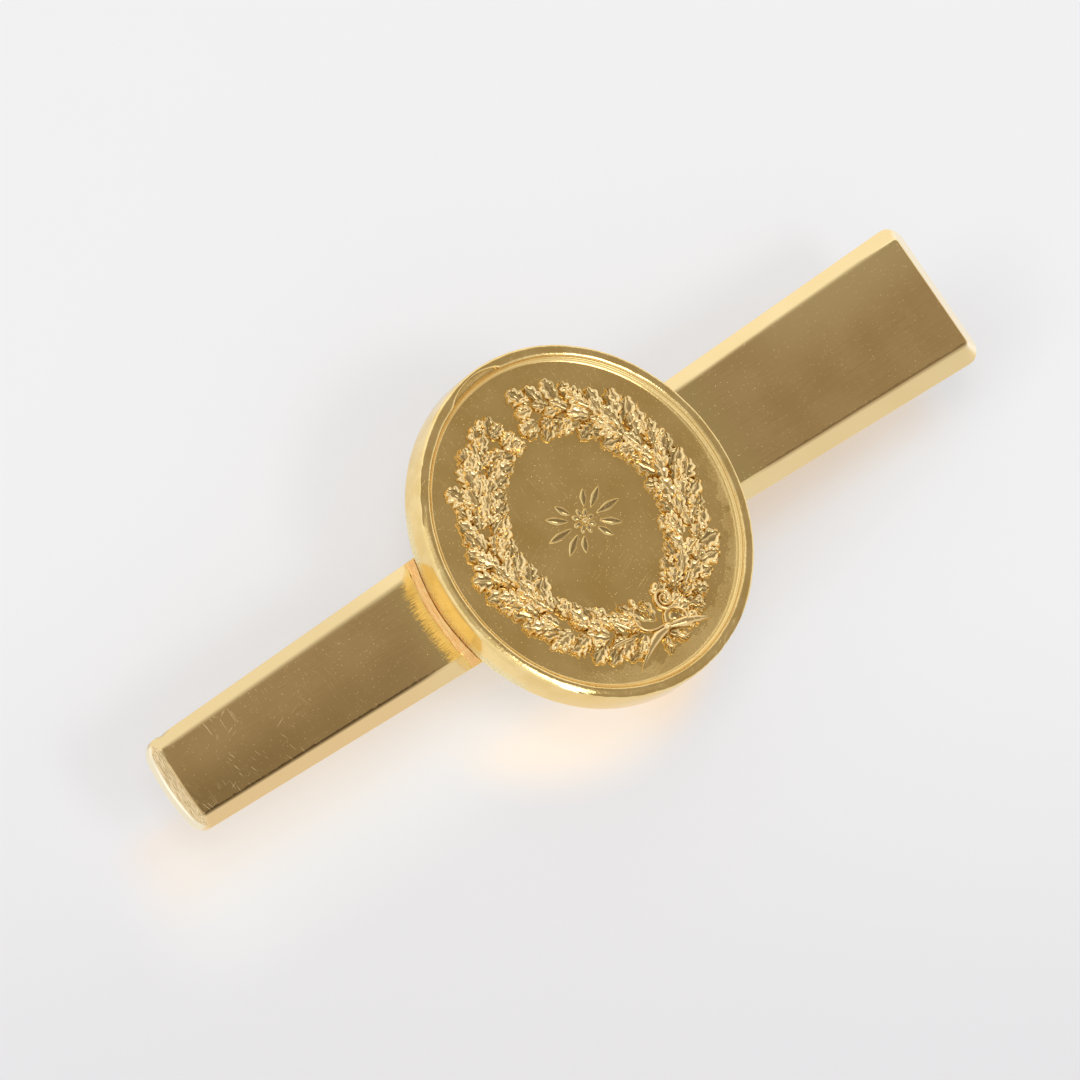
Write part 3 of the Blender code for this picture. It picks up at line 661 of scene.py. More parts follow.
@dataclass(frozen=True)
class MedalFinish(MetalFinish):
    """Struck gold: a bright worn field with hair scratches, and grain where the field meets the cove."""

    centre: Flat
    cove: float
    field: float

    def pattern(self, bench: NodeBench) -> tuple[Wire, Wire, Wire]:
        """Return the colour, the roughness and the normal."""
        at = bench.place()
        x = bench.axis(at, "X") - self.centre[0]
        y = bench.axis(at, "Y") - self.centre[1]
        radius = (x * x + y * y).math("SQRT")
        cloud = bench.grain(at, 2.6 * MM, 3.0)
        fine = bench.grain(at, 0.1 * MM, 2.0)
        pits = bench.rise(bench.grain(at, 0.1 * MM, 0.0), 0.77, 0.82)
        hair = bench.scratches(
            at, (0.035 * MM, 1.8 * MM, 18, 0.72), (0.035 * MM, 1.4 * MM, 92, 0.73)
        ) * 0.4
        ragged = bench.grain(at, 0.8 * MM, 5.0) - 0.5
        border = bench.rise(radius + ragged * 2.4 * MM, self.cove - 0.5 * MM, self.cove - 0.3 * MM)
        lower = bench.rise(y * -1.0 + x * 0.5, 1.0 * MM, 7.0 * MM)
        gritty = border * (lower * 0.9 + 0.1)
        z = bench.axis(at, "Z")
        leaf_foot = self.field + 0.06 * MM
        raised = bench.rise(z, self.field + 0.02 * MM, leaf_foot)
        # Painted shade in the cove, broken by its turned lines.
        cove = bench.rise(radius, self.cove - 0.05 * MM, self.cove + 0.05 * MM) * raised
        on_leaves = raised * (1 - cove)
        only_radius = bench.add("ShaderNodeCombineXYZ", {}, {0: radius})
        turned = bench.rise(bench.grain(only_radius, 0.07 * MM, 1.0), 0.4, 0.56)
        # Painted shade on the leaves: darkest at their feet, lightest at their crests.
        ridge = bench.rise(z, leaf_foot, self.field + 0.17 * MM)
        tone = bench.rise(cloud, 0.3, 0.7) * (1 - raised) + raised * 0.8
        colour = bench.coats(
            bench.tint(tone, self.deep, self.pale),
            (cove * (1 - turned) * 0.7, Tone.COVE),
            (on_leaves, bench.tint(ridge, Tone.LEAF_DEEP, Tone.LEAF_PALE)),
        )
        rough = (cloud - 0.5) * 0.08 + hair * 0.2 + gritty * fine * 0.3
        rough = rough + self.roughness - on_leaves * ridge * 0.04
        height = (fine - 0.5) * (gritty * 2.2 + on_leaves * 0.5 + 0.12)
        height = height + pits * 1.2 - hair * 0.6 + turned * cove * 1.4
        return colour, rough, bench.relief(height, 0.008 * MM)


@dataclass(frozen=True)
class SolderFinish(MetalFinish):
    """Coppery solder, run thin at its edge and rippled where it froze."""

    def pattern(self, bench: NodeBench) -> tuple[Wire, Wire, Wire]:
        """Return the colour, the roughness and the normal."""
        at = bench.place()
        runs = bench.grain(at, 0.09 * MM, 3.0, math.radians(90), 7.0)
        fine = bench.grain(at, 0.07 * MM, 2.0)
        burnt = bench.rise(bench.grain(at, 0.4 * MM, 2.0), 0.62, 0.7) + bench.rise(fine, 0.54, 0.64)
        plain = bench.tint(bench.rise(runs, 0.35, 0.65), self.deep, self.pale)
        colour = bench.tint(burnt * 0.2, plain, Tone.BURNT)
        rough = (runs - 0.5) * 0.2 + fine * 0.1 + self.roughness
        return colour, rough, bench.relief(runs * 1.4 + fine * 1.6, 0.008 * MM)


@dataclass(frozen=True)
class ClaspFinish(MetalFinish):
    """Stamped sheet, brushed along its length, with rubbed marks."""

    def pattern(self, bench: NodeBench) -> tuple[Wire, Wire, Wire]:
        """Return the colour, the roughness and the normal."""
        at = bench.place()
        brush = bench.grain(at, 0.06 * MM, 2.0, 0.0, 30.0)
        cloud = bench.grain(at, 2.0 * MM, 3.0)
        marks = bench.scratches(at, (0.05 * MM, 1.2 * MM, 15, 0.65))
        colour = bench.tint(bench.rise(cloud + (brush - 0.5) * 0.4, 0.3, 0.7), self.deep, self.pale)
        rough = (brush - 0.5) * 0.16 + (cloud - 0.5) * 0.1 + marks * 0.2 + self.roughness
        return colour, rough, bench.relief(brush - marks, 0.006 * MM)


# Geometry Nodes


@dataclass
class NodeGroup:
    """A Geometry Nodes tree with named inputs, run on a host mesh and made plain."""

    name: str
    inputs: dict[str, str]

    def __post_init__(self) -> None:
        """Make the tree and its inputs."""
        self.tree = bpy.data.node_groups.new(self.name, "GeometryNodeTree")
        self.tree.is_modifier = True
        self.tree.interface.new_socket("Geometry", in_out="OUTPUT", socket_type="NodeSocketGeometry")
        self.identifiers = {}
        for label, kind in {"Geometry": "Geometry", **self.inputs, "Finish": "Material"}.items():
            socket = self.tree.interface.new_socket(label, in_out="INPUT", socket_type=f"NodeSocket{kind}")
            self.identifiers[label] = socket.identifier
        self.bench = NodeBench(self.tree)
        self.entry = self.bench.node("NodeGroupInput")

    def given(self, label: str) -> Wire:
        """Return the wire from one of the tree's inputs."""
        return Wire(self.bench, self.entry.outputs[label])

    def curve(self) -> Wire:
        """Return the host's line as a curve."""
        return self.bench.add("GeometryNodeMeshToCurve", {}, {0: self.given("Geometry")})

    def stations(self) -> Wire:
        """Return even points along the host's line, as many as the input Count says."""
        sampled = {"Curve": self.curve(), "Count": self.given("Count")}
        return self.bench.add("GeometryNodeResampleCurve", {"mode": "COUNT"}, sampled)

    def close(self, shape: Wire) -> None:
        """End the tree: make instances real, give them their finish and pass them out."""
        real = self.bench.add("GeometryNodeRealizeInstances", {}, {0: shape})
        finished = {"Geometry": real, "Material": self.given("Finish")}
        dressed = self.bench.add("GeometryNodeSetMaterial", {}, finished)
        self.bench.node("NodeGroupOutput", {}, {0: dressed})

    def grow(self, path: Sequence[Sequence[float]], values: dict) -> bpy.types.Mesh:
        """Run the tree along a path.

        Args:
            path: The points of the host's line.
            values: The tree's inputs, by name.

        Returns:
            The result as a plain mesh.
        """
        line = bpy.data.meshes.new(f"{self.name}_line")
        line.from_pydata([tuple(point) for point in path], [(i, i + 1) for i in range(len(path) - 1)], [])
        host = add_object(f"{self.name}_host", line)
        modifier = host.modifiers.new(self.name, "NODES")
        modifier.node_group = self.tree
        for label, value in values.items():
            modifier[self.identifiers[label]] = value
        mesh = make_plain(host).data
        bpy.data.objects.remove(host)
        return mesh


def leaf_row_group() -> NodeGroup:
    """Make the tree that sets leaves or acorns along a branch, leaning to one side of it."""
    floats = (
        "Offset", "Offset Spread", "Lean", "Lean Spread", "Lift", "Roll", "Rise", "Size", "Size Spread",
        "Half Width",
    )
    inputs = {"Leaves": "Collection", "Count": "Int", **dict.fromkeys(floats, "Float"), "Seed": "Int"}
    group = NodeGroup("leaf_row", inputs)
    bench = group.bench

    def chance(label: str, salt: int) -> Wire:
        """Return a random number from -1 to 1 times an input, one for each leaf."""
        limits = {2: -1.0, 3: 1.0, 8: group.given("Seed") + float(salt)}
        random = bench.add("FunctionNodeRandomValue", {"data_type": "FLOAT"}, limits, output=1)
        return random * group.given(label)

    tangent = bench.add("GeometryNodeInputTangent")
    ahead_x, ahead_y = bench.axis(tangent, "X"), bench.axis(tangent, "Y")
    sideways = group.given("Offset") + chance("Offset Spread", 1)
    across = {0: ahead_y * -1.0 * sideways, 1: ahead_x * sideways, 2: group.given("Rise")}
    move = bench.add("ShaderNodeCombineXYZ", {}, across)
    moved = bench.add("GeometryNodeSetPosition", {}, {"Geometry": group.stations(), "Offset": move})
    yaw = ahead_y.math("ARCTAN2", ahead_x) + group.given("Lean") + chance("Lean Spread", 2)
    turns = {0: chance("Roll", 3), 1: group.given("Lift") * -1.0, 2: yaw}
    turn = bench.add("ShaderNodeCombineXYZ", {}, turns)
    place_x = abs(bench.axis(bench.add("GeometryNodeInputPosition"), "X"))
    fuller = bench.rise(place_x / group.given("Half Width"), 0.1, 0.9, 0.86, 1.0)
    size = (group.given("Size") + chance("Size Spread", 4)) * fuller
    kinds = {"Collection": group.given("Leaves"), "Separate Children": True, "Reset Children": True}
    leaves = bench.add("GeometryNodeCollectionInfo", {}, kinds)
    any_of_six = {4: 0, 5: 5, 8: group.given("Seed")}
    pick = bench.add("FunctionNodeRandomValue", {"data_type": "INT"}, any_of_six, output=2)
    group.close(bench.add("GeometryNodeInstanceOnPoints", {}, {
        "Points": moved, "Instance": leaves, "Pick Instance": True, "Instance Index": pick,
        "Rotation": turn, "Scale": size,
    }))
    return group


def wire_group() -> NodeGroup:
    """Make the tree that sweeps round wire along a path."""
    group = NodeGroup("round_wire", {"Radius": "Float", "Sides": "Int"})
    round_inputs = {"Resolution": group.given("Sides"), "Radius": group.given("Radius")}
    profile = group.bench.add("GeometryNodeCurvePrimitiveCircle", {"mode": "RADIUS"}, round_inputs)
    swept = {"Curve": group.curve(), "Profile Curve": profile, "Fill Caps": True}
    group.close(group.bench.add("GeometryNodeCurveToMesh", {}, swept))
    return group


def rib_group() -> NodeGroup:
    """Make the tree that repeats one rib along a path."""
    group = NodeGroup("grip_ribs", {"Rib": "Object", "Count": "Int"})
    rib = group.bench.add("GeometryNodeObjectInfo", {}, {"Object": group.given("Rib")}, output="Geometry")
    copies = {"Points": group.stations(), "Instance": rib}
    group.close(group.bench.add("GeometryNodeInstanceOnPoints", {}, copies))
    return group


# The bar


@dataclass
class TieBar:
    """The tapered bar: flat satin top, bevels all round, and a filed, slightly bowed narrow end."""

    run: float = 0.95 * MM
    drop: float = 0.46 * MM
    narrow_width: float = 5.35 * MM
    wide_width: float = 9.1 * MM
    narrow_share: float = 0.68
    wide_end_share: float = 0.82
    lower_share: float = 1.16
    upper_share: float = 0.93
    wide_corner: float = 1.05 * MM
    narrow_corner: float = 0.8 * MM
    end_bow: float = 0.36 * MM
    bow_length: float = 1.4 * MM
    foot_round: float = 0.08 * MM
    flat_margin: float = 0.9 * MM
    arc_steps: int = 8
    side_steps: tuple[int, ...] = (150, 24, 150, 24)
    crisp_edge: float = 0.05 * MM
    worn_edge: float = 0.8 * MM
    burr: float = 0.03 * MM
    nicks: tuple[Point, ...] = (
        # place along the bar, width, depth
        (-28.35 * MM, 0.18 * MM, 0.09 * MM),
        (-27.8 * MM, 0.12 * MM, 0.1 * MM),
        (-25.06 * MM, 0.12 * MM, 0.1 * MM),
    )

    def __post_init__(self) -> None:
        """Take the bar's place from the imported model."""
        low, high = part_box("bar")
        self.half = high.x
        self.base = low.z
        self.top = high.z

    def run_share(self, x: float) -> float:
        """Return how much of an inset the sides take at x: all at the wide end, less at the narrow one."""
        return self.narrow_share + (1 - self.narrow_share) * (x / self.half + 1) / 2

    def half_width(self, x: float, inset: float = 0.0) -> float:
        """Return the bar's half width at x, with its sides moved in."""
        taper = (self.wide_width - self.narrow_width) / 4 / self.half
        moved = inset * self.run_share(x) * math.hypot(1, taper)
        return (self.wide_width + self.narrow_width) / 4 + taper * x - moved

    def lower_top_edge(self) -> Flat:
        """Return the slope and the middle of the flat top's lower edge, a straight line along the bar."""
        start, end = (-self.half_width(x, self.run * self.lower_share) for x in (0.0, 1.0))
        return end - start, start

    def surface(self, x: float, y: float) -> float:
        """Return the height of the bar's upper side at a place in plan."""
        run = self.run * (self.upper_share if y > 0 else self.lower_share)
        over = (abs(y) - self.half_width(x, run)) / self.run_share(x)
        return self.top - self.drop * clamp(over / run)

    def outline(self, inset: float) -> list[Vector]:
        """Draw the plan of the bar with every side moved in.

        Args:
            inset: How far the sides are moved in.

        Returns:
            The same number of points for every inset.
        """
        end = self.half - inset * self.wide_end_share
        filed = self.half - inset * self.narrow_share
        narrow = self.half_width(-filed, inset)
        share = min(inset / self.run, 1.0)
        corners = [
            (x, sign * self.half_width(x, inset * part))
            for x, sign, part in (
                (-filed, -1, self.lower_share), (end, -1, self.lower_share),
                (end, 1, self.upper_share), (-filed, 1, self.upper_share),
            )
        ]
        points: list[Vector] = []
        arcs = []
        for i, corner in enumerate(corners):
            round_off = (self.narrow_corner if corner[0] < 0 else self.wide_corner) * (1 - 0.8 * share)
            here = Vector(corner)
            back = (Vector(corners[i - 1]) - here).normalized()
            ahead = (Vector(corners[(i + 1) % 4]) - here).normalized()
            half_angle = back.angle(ahead) / 2
            centre = here + (back + ahead).normalized() * round_off / math.sin(half_angle)
            start = here + back * round_off / math.tan(half_angle) - centre
            stop = here + ahead * round_off / math.tan(half_angle) - centre
            arcs.append([
                centre + start.slerp(stop, step / self.arc_steps) * round_off
                for step in range(self.arc_steps + 1)
            ])
        for arc, following, count in zip(arcs, arcs[1:] + arcs[:1], self.side_steps):
            points += arc + [arc[-1].lerp(following[0], step / count) for step in range(1, count)]
        for point in points:
            bowed = smooth_step(-point.x, filed - self.bow_length, filed)
            point.x += self.end_bow * (1 - 0.85 * share) * (point.y / narrow) ** 2 * bowed
        return points

    def edge_profile(self, softness: float) -> list[Flat]:
        """Draw the bar's edge from its foot to the flat top.

        Args:
            softness: How far from the bevel's upper edge its rounding starts.

        Returns:
            Each point's inset and height.
        """
        foot = self.top - self.drop
        slope = [(self.run * share, foot + self.drop * share, 0.0) for share in (0.04, 0.08, 0.12)]
        return soften([
            (self.foot_round, self.base, 0.0),
            (0.0, self.base + self.foot_round, 0.03 * MM),
            (0.0, foot, 0.02 * MM),
            *slope,
            (self.run, self.top, softness),
            (self.run + self.flat_margin, self.top, 0.0),
        ], 8)

    def wear(self, point: Vector) -> float:
        """Return how worn the bevel's upper edge is: most on the upper side towards the narrow end."""
        upper = smooth_step(point.y, 0.8 * MM, 1.9 * MM)
        inward = smooth_step(self.half - point.x, 1.0 * MM, 4.0 * MM)
        return upper * inward * (0.5 + 0.5 * smooth_step(-point.x, -20 * MM, 20 * MM))

    def ring(self, crisp: Flat, worn: Flat) -> list[Point]:
        """Draw one ring of the bar between its crisp and its worn edge, with its waver and nicks."""
        ring = []
        for sharp, soft in zip(self.outline(crisp[0]), self.outline(worn[0])):
            share = self.wear(sharp)
            point = sharp.lerp(soft, share)
            inset = crisp[0] + (worn[0] - crisp[0]) * share
            z = crisp[1] + (worn[1] - crisp[1]) * share
            if point.x < -self.half + self.run and abs(inset - self.run) < 0.03 * MM:
                z += self.burr * (0.6 + 0.8 * ripple((0, point.y, 0), 0.4 * MM))
            if inset < self.run * 0.8 and z > self.top - self.drop - 0.2 * MM:
                z -= abs(ripple((point.x, point.y, 0), 2.5 * MM)) * 0.008 * MM
            for place, width, depth in self.nicks:
                if point.y > 0 and inset < self.run * 0.2:
                    dent = math.exp(-(((point.x - place) / width) ** 2)) * (1 - inset / self.run / 0.2)
                    point.y -= depth * dent * (0.8 + ripple((point.x, 0, 0), 0.08 * MM))
                    z -= 0.5 * depth * dent
            ring.append((point.x, point.y, z))
        return ring

    def build(self, finish: Material) -> Piece:
        """Build the bar from its rounded edge profiles."""
        edges = zip(self.edge_profile(self.crisp_edge), self.edge_profile(self.worn_edge))
        piece = Skin([self.ring(crisp, worn) for crisp, worn in edges]).build("bar_body", finish)
        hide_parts("bar")
        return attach(piece, Body.FRONT.value)


# The medallion


@dataclass
class Medallion:
    """The turned bezel, its solder, and the struck medal's disc."""

    bar: TieBar
    lip: float = 0.65 * MM
    wall: float = 0.25 * MM
    floor: float = 0.35 * MM
    rim_round: float = 0.24 * MM
    lip_thickness: float = 0.12 * MM
    notch_middle: float = math.radians(97)
    notch_half: float = math.radians(12)
    notch_depth: float = 0.4 * MM
    cove_width: float = 0.3 * MM
    cove_depth: float = 0.16 * MM
    cove_heading: float = math.radians(-29)
    cove_spread: float = 0.24 * MM
    cove_tuck: float = 0.02 * MM
    crest_drop: float = 0.05 * MM
    # degrees round the rim: where a worn patch starts, is full, fades and ends
    worn_spans: tuple[tuple[float, ...], ...] = ((128, 138, 148, 158), (215, 235, 290, 310))
    rubbed_span: tuple[float, ...] = (140, 165, 215, 240)
    rubbed_depth: float = 0.09 * MM
    layer_share: float = 0.93
    layer_setback: float = 0.12 * MM
    solder_sink: float = 0.03 * MM
    segments: int = 288

    def __post_init__(self) -> None:
        """Take the medallion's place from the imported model."""
        low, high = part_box("bezel")
        self.centre = ((low.x + high.x) / 2, (low.y + high.y) / 2)
        self.radius = (high.x - low.x) / 2
        self.base, self.rim = low.z, high.z
        medal_low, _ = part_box("medal")
        self.medal_base = medal_low.z
        self.medal_edge = self.rim - self.lip_thickness - (self.medal_base - self.base - self.floor)
        self.field = self.medal_edge - self.cove_depth
        self.field_radius = self.radius - self.lip - 0.05 * MM - self.cove_width

    def turned(
        self, profile: Sequence[Flat], shift: Callable[[float, float, float], Flat]
    ) -> list[list[Point]]:
        """Turn a profile round the medallion's axis.

        Args:
            profile: Radii and heights.
            shift: What to add to a radius and a height at an angle.

        Returns:
            One ring for each point of the profile.
        """
        middle_x, middle_y = self.centre
        rings = []
        for radius, height in profile:
            ring = []
            for angle in spread(0, 2 * math.pi, self.segments)[:-1]:
                more, up = shift(angle, radius, height)
                x, y = (radius + more) * math.cos(angle), (radius + more) * math.sin(angle)
                ring.append((middle_x + x, middle_y + y, height + up))
            rings.append(ring)
        return rings

    def rim_wear(self, angle: float, radius: float, height: float) -> Flat:
        """Return how the burnished rim wavers, and where its lip draws back over the medal's edge."""
        turned = math.degrees(angle)
        round_rim = (math.cos(angle) * 4, math.sin(angle) * 4, 0.0)
        worn = 0.35 + 0.9 * max(patch(turned, *span) for span in self.worn_spans)
        near_rim = smooth_step(height, self.rim - 0.5 * MM, self.rim - 0.08 * MM)
        outer = smooth_step(radius, self.radius - self.lip, self.radius - 0.1 * MM)
        waver = ripple(round_rim, 0.22) * 0.05 * MM + ripple(round_rim, 0.75) * 0.03 * MM
        more = -(abs(waver) * 1.3 + 0.03 * MM) * worn * near_rim * outer
        up = -(abs(ripple(round_rim, 0.16)) * 0.06 * MM + 0.035 * MM) * worn * outer
        up *= smooth_step(height, self.rim - 0.06 * MM, self.rim)
        crest = near_rim * smooth_step(radius, self.radius - 0.42 * MM, self.radius - 0.04 * MM)
        up -= self.rubbed_depth * patch(turned, *self.rubbed_span) * crest
        inside = (self.radius - 0.02 * MM - radius) / (self.lip - 0.02 * MM)
        if inside > 0 and height > self.rim - self.lip_thickness - 0.02 * MM:
            gap = abs(angle - self.notch_middle) / self.notch_half
            drawn = max(1 - gap * gap, 0.0) ** 0.7
            more += (self.notch_depth * drawn + ripple(round_rim, 0.5) * 0.03 * MM) * min(inside, 1.0)
        return more, up

    def cove_drift(self, angle: float, radius: float, height: float) -> Flat:
        """Return how the cove runs wider towards the bar's wide end, as the photograph's bright band does."""
        wide = (0.5 + 0.5 * math.cos(angle - self.cove_heading)) ** 3
        inward = clamp((self.field_radius + self.cove_width - radius) / self.cove_width)
        return inward * (self.cove_tuck - (self.cove_spread + self.cove_tuck) * wide), 0.0

    def build_bezel(self, finish: Material) -> Piece:
        """Build the bezel, with its rounded, hand-burnished rim."""
        inner = self.radius - self.wall
        lip_inner = self.radius - self.lip
        under = self.rim - self.lip_thickness
        profile = soften([
            (self.radius - 0.3 * MM, self.base, 0.0),
            (self.radius, self.base, 0.05 * MM),
            (self.radius, self.base + 0.8 * MM, 0.0),
            (self.radius, self.rim, self.rim_round),
            (self.radius - 0.3 * MM, self.rim, 0.0),
            (self.radius - 0.36 * MM, self.rim, 0.0),
            (lip_inner + 0.16 * MM, self.rim, 0.06 * MM),
            (lip_inner + 0.02 * MM, self.rim - 0.05 * MM, 0.03 * MM),
            (lip_inner, under, 0.01 * MM),
            (inner, under, 0.0),
            (inner, self.base + self.floor, 0.0),
            (inner - 0.3 * MM, self.base + self.floor, 0.0),
        ], 6)
        piece = Skin(self.turned(profile, self.rim_wear)).build("bezel_cup", finish)
        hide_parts("bezel")
        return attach(piece, Body.FRONT.value)

    def build_disc(self, finish: Material) -> Piece:
        """Build the medal's disc: its edge under the lip, the cove and the flat field."""
        radius = self.radius - self.wall - 0.004 * MM
        cove = self.field_radius + self.cove_width
        crest_radius = cove + self.crest_drop
        profile = [
            (radius - 0.3 * MM, self.medal_base), (radius - 0.08 * MM, self.medal_base),
            (radius, self.medal_base + 0.08 * MM), (radius, self.medal_edge + 0.034 * MM),
            (radius - 0.01 * MM, self.medal_edge + 0.044 * MM),
            (cove + 0.1 * MM, self.medal_edge + 0.03 * MM),
            (crest_radius + 0.01 * MM, self.rim - 0.06 * MM),
        ]
        crest = self.rim - self.crest_drop - self.field
        for share in spread(0, 1, 16):
            radius = crest_radius + (self.field_radius - crest_radius) * share
            profile.append((radius, self.field + crest * (1 - share) ** 2.2))
        profile += [(self.field_radius - 0.4 * MM, self.field), (self.field_radius - 0.6 * MM, self.field)]
        piece = Skin(self.turned(profile, self.cove_drift)).build("medal_disc", finish)
        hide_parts("medal")
        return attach(piece, Body.FRONT.value)

    def build_solder(self, finish: Material) -> Piece:
        """Build the solder: a thin layer on the flat top, and at each end a fillet over the bevels."""
        skin = Skin()
        for side in Side:
            reach = 0.4 * MM if side is Side.NARROW else 0.3 * MM
            half = self.bar.half_width(side.value * self.radius) - 0.1 * MM
            rows = []
            for y in spread(-half, half, 64):
                turn = math.asin((y - self.centre[1]) / self.radius)
                out = Vector((side.value * math.cos(turn), math.sin(turn)))
                width = reach * (1 + 0.14 * ripple((y, reach, 0), 1.4 * MM))
                width *= 1 - 0.4 * smooth_step(abs(y), half - 1.1 * MM, half - 0.2 * MM)
                upper, lower = [], []
                for share in spread(-2.4, 1, 34):
                    radius = self.radius + width * share
                    x, place_y = self.centre[0] + out.x * radius, self.centre[1] + out.y * radius
                    ground = self.bar.surface(x, place_y)
                    crest = self.base + (0.08 if share > 0.06 else -0.02) * MM
                    height = ground + max(crest - ground, 0.0) * (1 - max(share, 0.0)) ** 1.6
                    if 0.06 < share < 0.95:
                        height += ripple((share * 3.0, y / (5 * MM), side.value), 0.42) * 0.04 * MM
                    upper.append((x, place_y, max(height, ground + 0.004 * MM)))
                    lower.append((x, place_y, ground - self.solder_sink))
                rows.append(upper + lower[::-1])
            skin.loft(rows)
        layer = []
        under, over = self.bar.top - self.solder_sink, self.base + 0.01 * MM
        for x in spread(-self.layer_share * self.radius, self.layer_share * self.radius, 60):
            back = self.layer_setback * (1 + ripple((x, 0.0, 0.0), 1.1 * MM))
            low = back - self.bar.half_width(x, self.bar.run * self.bar.lower_share)
            high = self.bar.half_width(x, self.bar.run * self.bar.upper_share) - back
            layer.append([(x, low, under), (x, low, over), (x, high, over), (x, high, under)])
        skin.loft(layer)
        piece = skin.build("bezel_solder_fillet", finish)
        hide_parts("bezel_solder")
        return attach(piece, Body.FRONT.value)


@dataclass
class OakWreath:
    """The raised work: two branches of oak leaves and acorns, their knot, and the ornament between them."""

    medallion: Medallion
    half_width: float = 6.1 * MM
    half_height: float = 6.45 * MM
    leaf_length: float = 1.4 * MM
    relief: float = 0.2 * MM
    sink: float = 0.2 * MM
    crease: float = math.radians(80)
    leaf_roll: float = math.radians(11)
    side_seed: int = 100
    flattened: float = 0.6
    knot_leaves: tuple[tuple[float, float, float, float], ...] = (
        # x and y from the medal's centre in millimetres, heading in degrees, length in millimetres
        (2.27, -6.5, -23, 1.36), (2.44, -5.79, -9, 1.5), (0.39, -7.42, -44, 1.19), (0.07, -7.47, -111, 1.01),
        (-1.2, -6.99, -161, 1.62), (-1.36, -6.67, -171, 1.61), (0.09, -6.1, 129, 1.09),
        (-0.01, -6.39, 88, 1.24), (-0.77, -5.62, 131, 1.19), (1.89, -5.94, 38, 0.99),
    )

    def spot(self, x: float, y: float) -> Flat:
        """Return a place given in millimetres from the medal's centre."""
        return self.medallion.centre[0] + x * MM, self.medallion.centre[1] + y * MM

    def leaf_rings(self, length: float, width: float, lobes: int, salt: int) -> list[list[Point]]:
        """Draw one oak leaf, its stalk at the origin and its tip along +X.

        Args:
            length: Its length.
            width: Its greatest half width.
            lobes: Lobes on each side.
            salt: Sets its own small unevenness.

        Returns:
            The leaf's cross-sections from stalk to tip.
        """
        stations = 6 * lobes
        rows = []
        for i in range(stations + 1):
            share = i / stations
            lobe = abs(math.sin(math.pi * (share * (lobes + 0.38) + 0.06))) ** 0.75
            swell = math.sin(math.pi * min(share * 0.86 + 0.13, 1.0)) ** 0.5
            half = width * swell * (0.5 + 0.5 * lobe)
            fold = 0.35 + 0.65 * lobe
            rise = self.relief * (0.66 + 0.34 * math.sin(math.pi * min(share * 0.8 + 0.15, 1.0)))
            row = []
            for across, height, cup in LEAF_STEPS:
                x = length * share + abs(across) * 0.1 * length * swell * lobe
                y = across * half
                z = rise * (height - cup * fold) + ripple((x, y, salt * MM), 0.5 * MM) * 0.03 * MM
                row.append((x, y, z))
            for end in (0, -1):
                x, y, z = row[end]
                foot = (x, y + math.copysign(z + 0.02 * MM, y), 0.0)
                low = (x, foot[1], -self.sink)
                row = [low, foot, *row] if end == 0 else [*row, foot, low]
            rows.append(row)
        return rows

    def leaf(self, name: str, length: float, width: float, lobes: int, salt: int) -> Piece:
        """Build one oak leaf that is not linked to the scene, from the same values as its rings."""
        return self.keep(name, Skin(self.leaf_rings(length, width, lobes, salt)))

    def acorn(self, name: str, length: float) -> Piece:
        """Build one acorn in its cup, lying along +X."""
        skin = Skin()
        skin.dome((length * 0.62, 0), (length * 0.5, length * 0.3), 0.0, -self.sink, self.relief * 1.15, 9)
        skin.dome((length * 0.2, 0), (length * 0.26, length * 0.38), 0.0, -self.sink, self.relief, 9)
        return self.keep(name, skin)

    def keep(self, name: str, skin: Skin) -> Piece:
        """Make a template that only Geometry Nodes use."""
        mesh = skin.mesh(name)
        mesh.shade_smooth()
        return bpy.data.objects.new(name, mesh)

    def branch(self, side: Side) -> list[Point]:
        """Return the line of one branch, from the bow to its tip."""
        start, end, more = (-77, 81, 0.0) if side is Side.WIDE else (261, 108, 0.15 * MM)
        middle_x, middle_y = self.medallion.centre
        line = []
        for angle in spread(math.radians(start), math.radians(end), 48):
            x, y = (self.half_width + more) * math.cos(angle), self.half_height * math.sin(angle)
            line.append((middle_x + x, middle_y + y, self.medallion.field))
        return line

    def build_leaves(self, finish: Material) -> Piece:
        """Grow the rows of leaves and acorns on both branches as one piece."""
        broad = bpy.data.collections.new("broad_leaves")
        slim = bpy.data.collections.new("slim_leaves")
        acorns = bpy.data.collections.new("acorns")
        for i, (lobes, width) in enumerate(((2, 0.56), (3, 0.54), (2, 0.5), (3, 0.58))):
            broad.objects.link(self.leaf(f"broad_leaf_{i}", self.leaf_length, width * MM, lobes, i))
        for i, (lobes, width) in enumerate(((2, 0.42), (2, 0.48), (3, 0.4))):
            slim.objects.link(self.leaf(f"slim_leaf_{i}", self.leaf_length * 0.9, width * MM, lobes, 7 + i))
        for i, length in enumerate((0.62 * MM, 0.75 * MM)):
            acorns.objects.link(self.acorn(f"acorn_{i}", length))
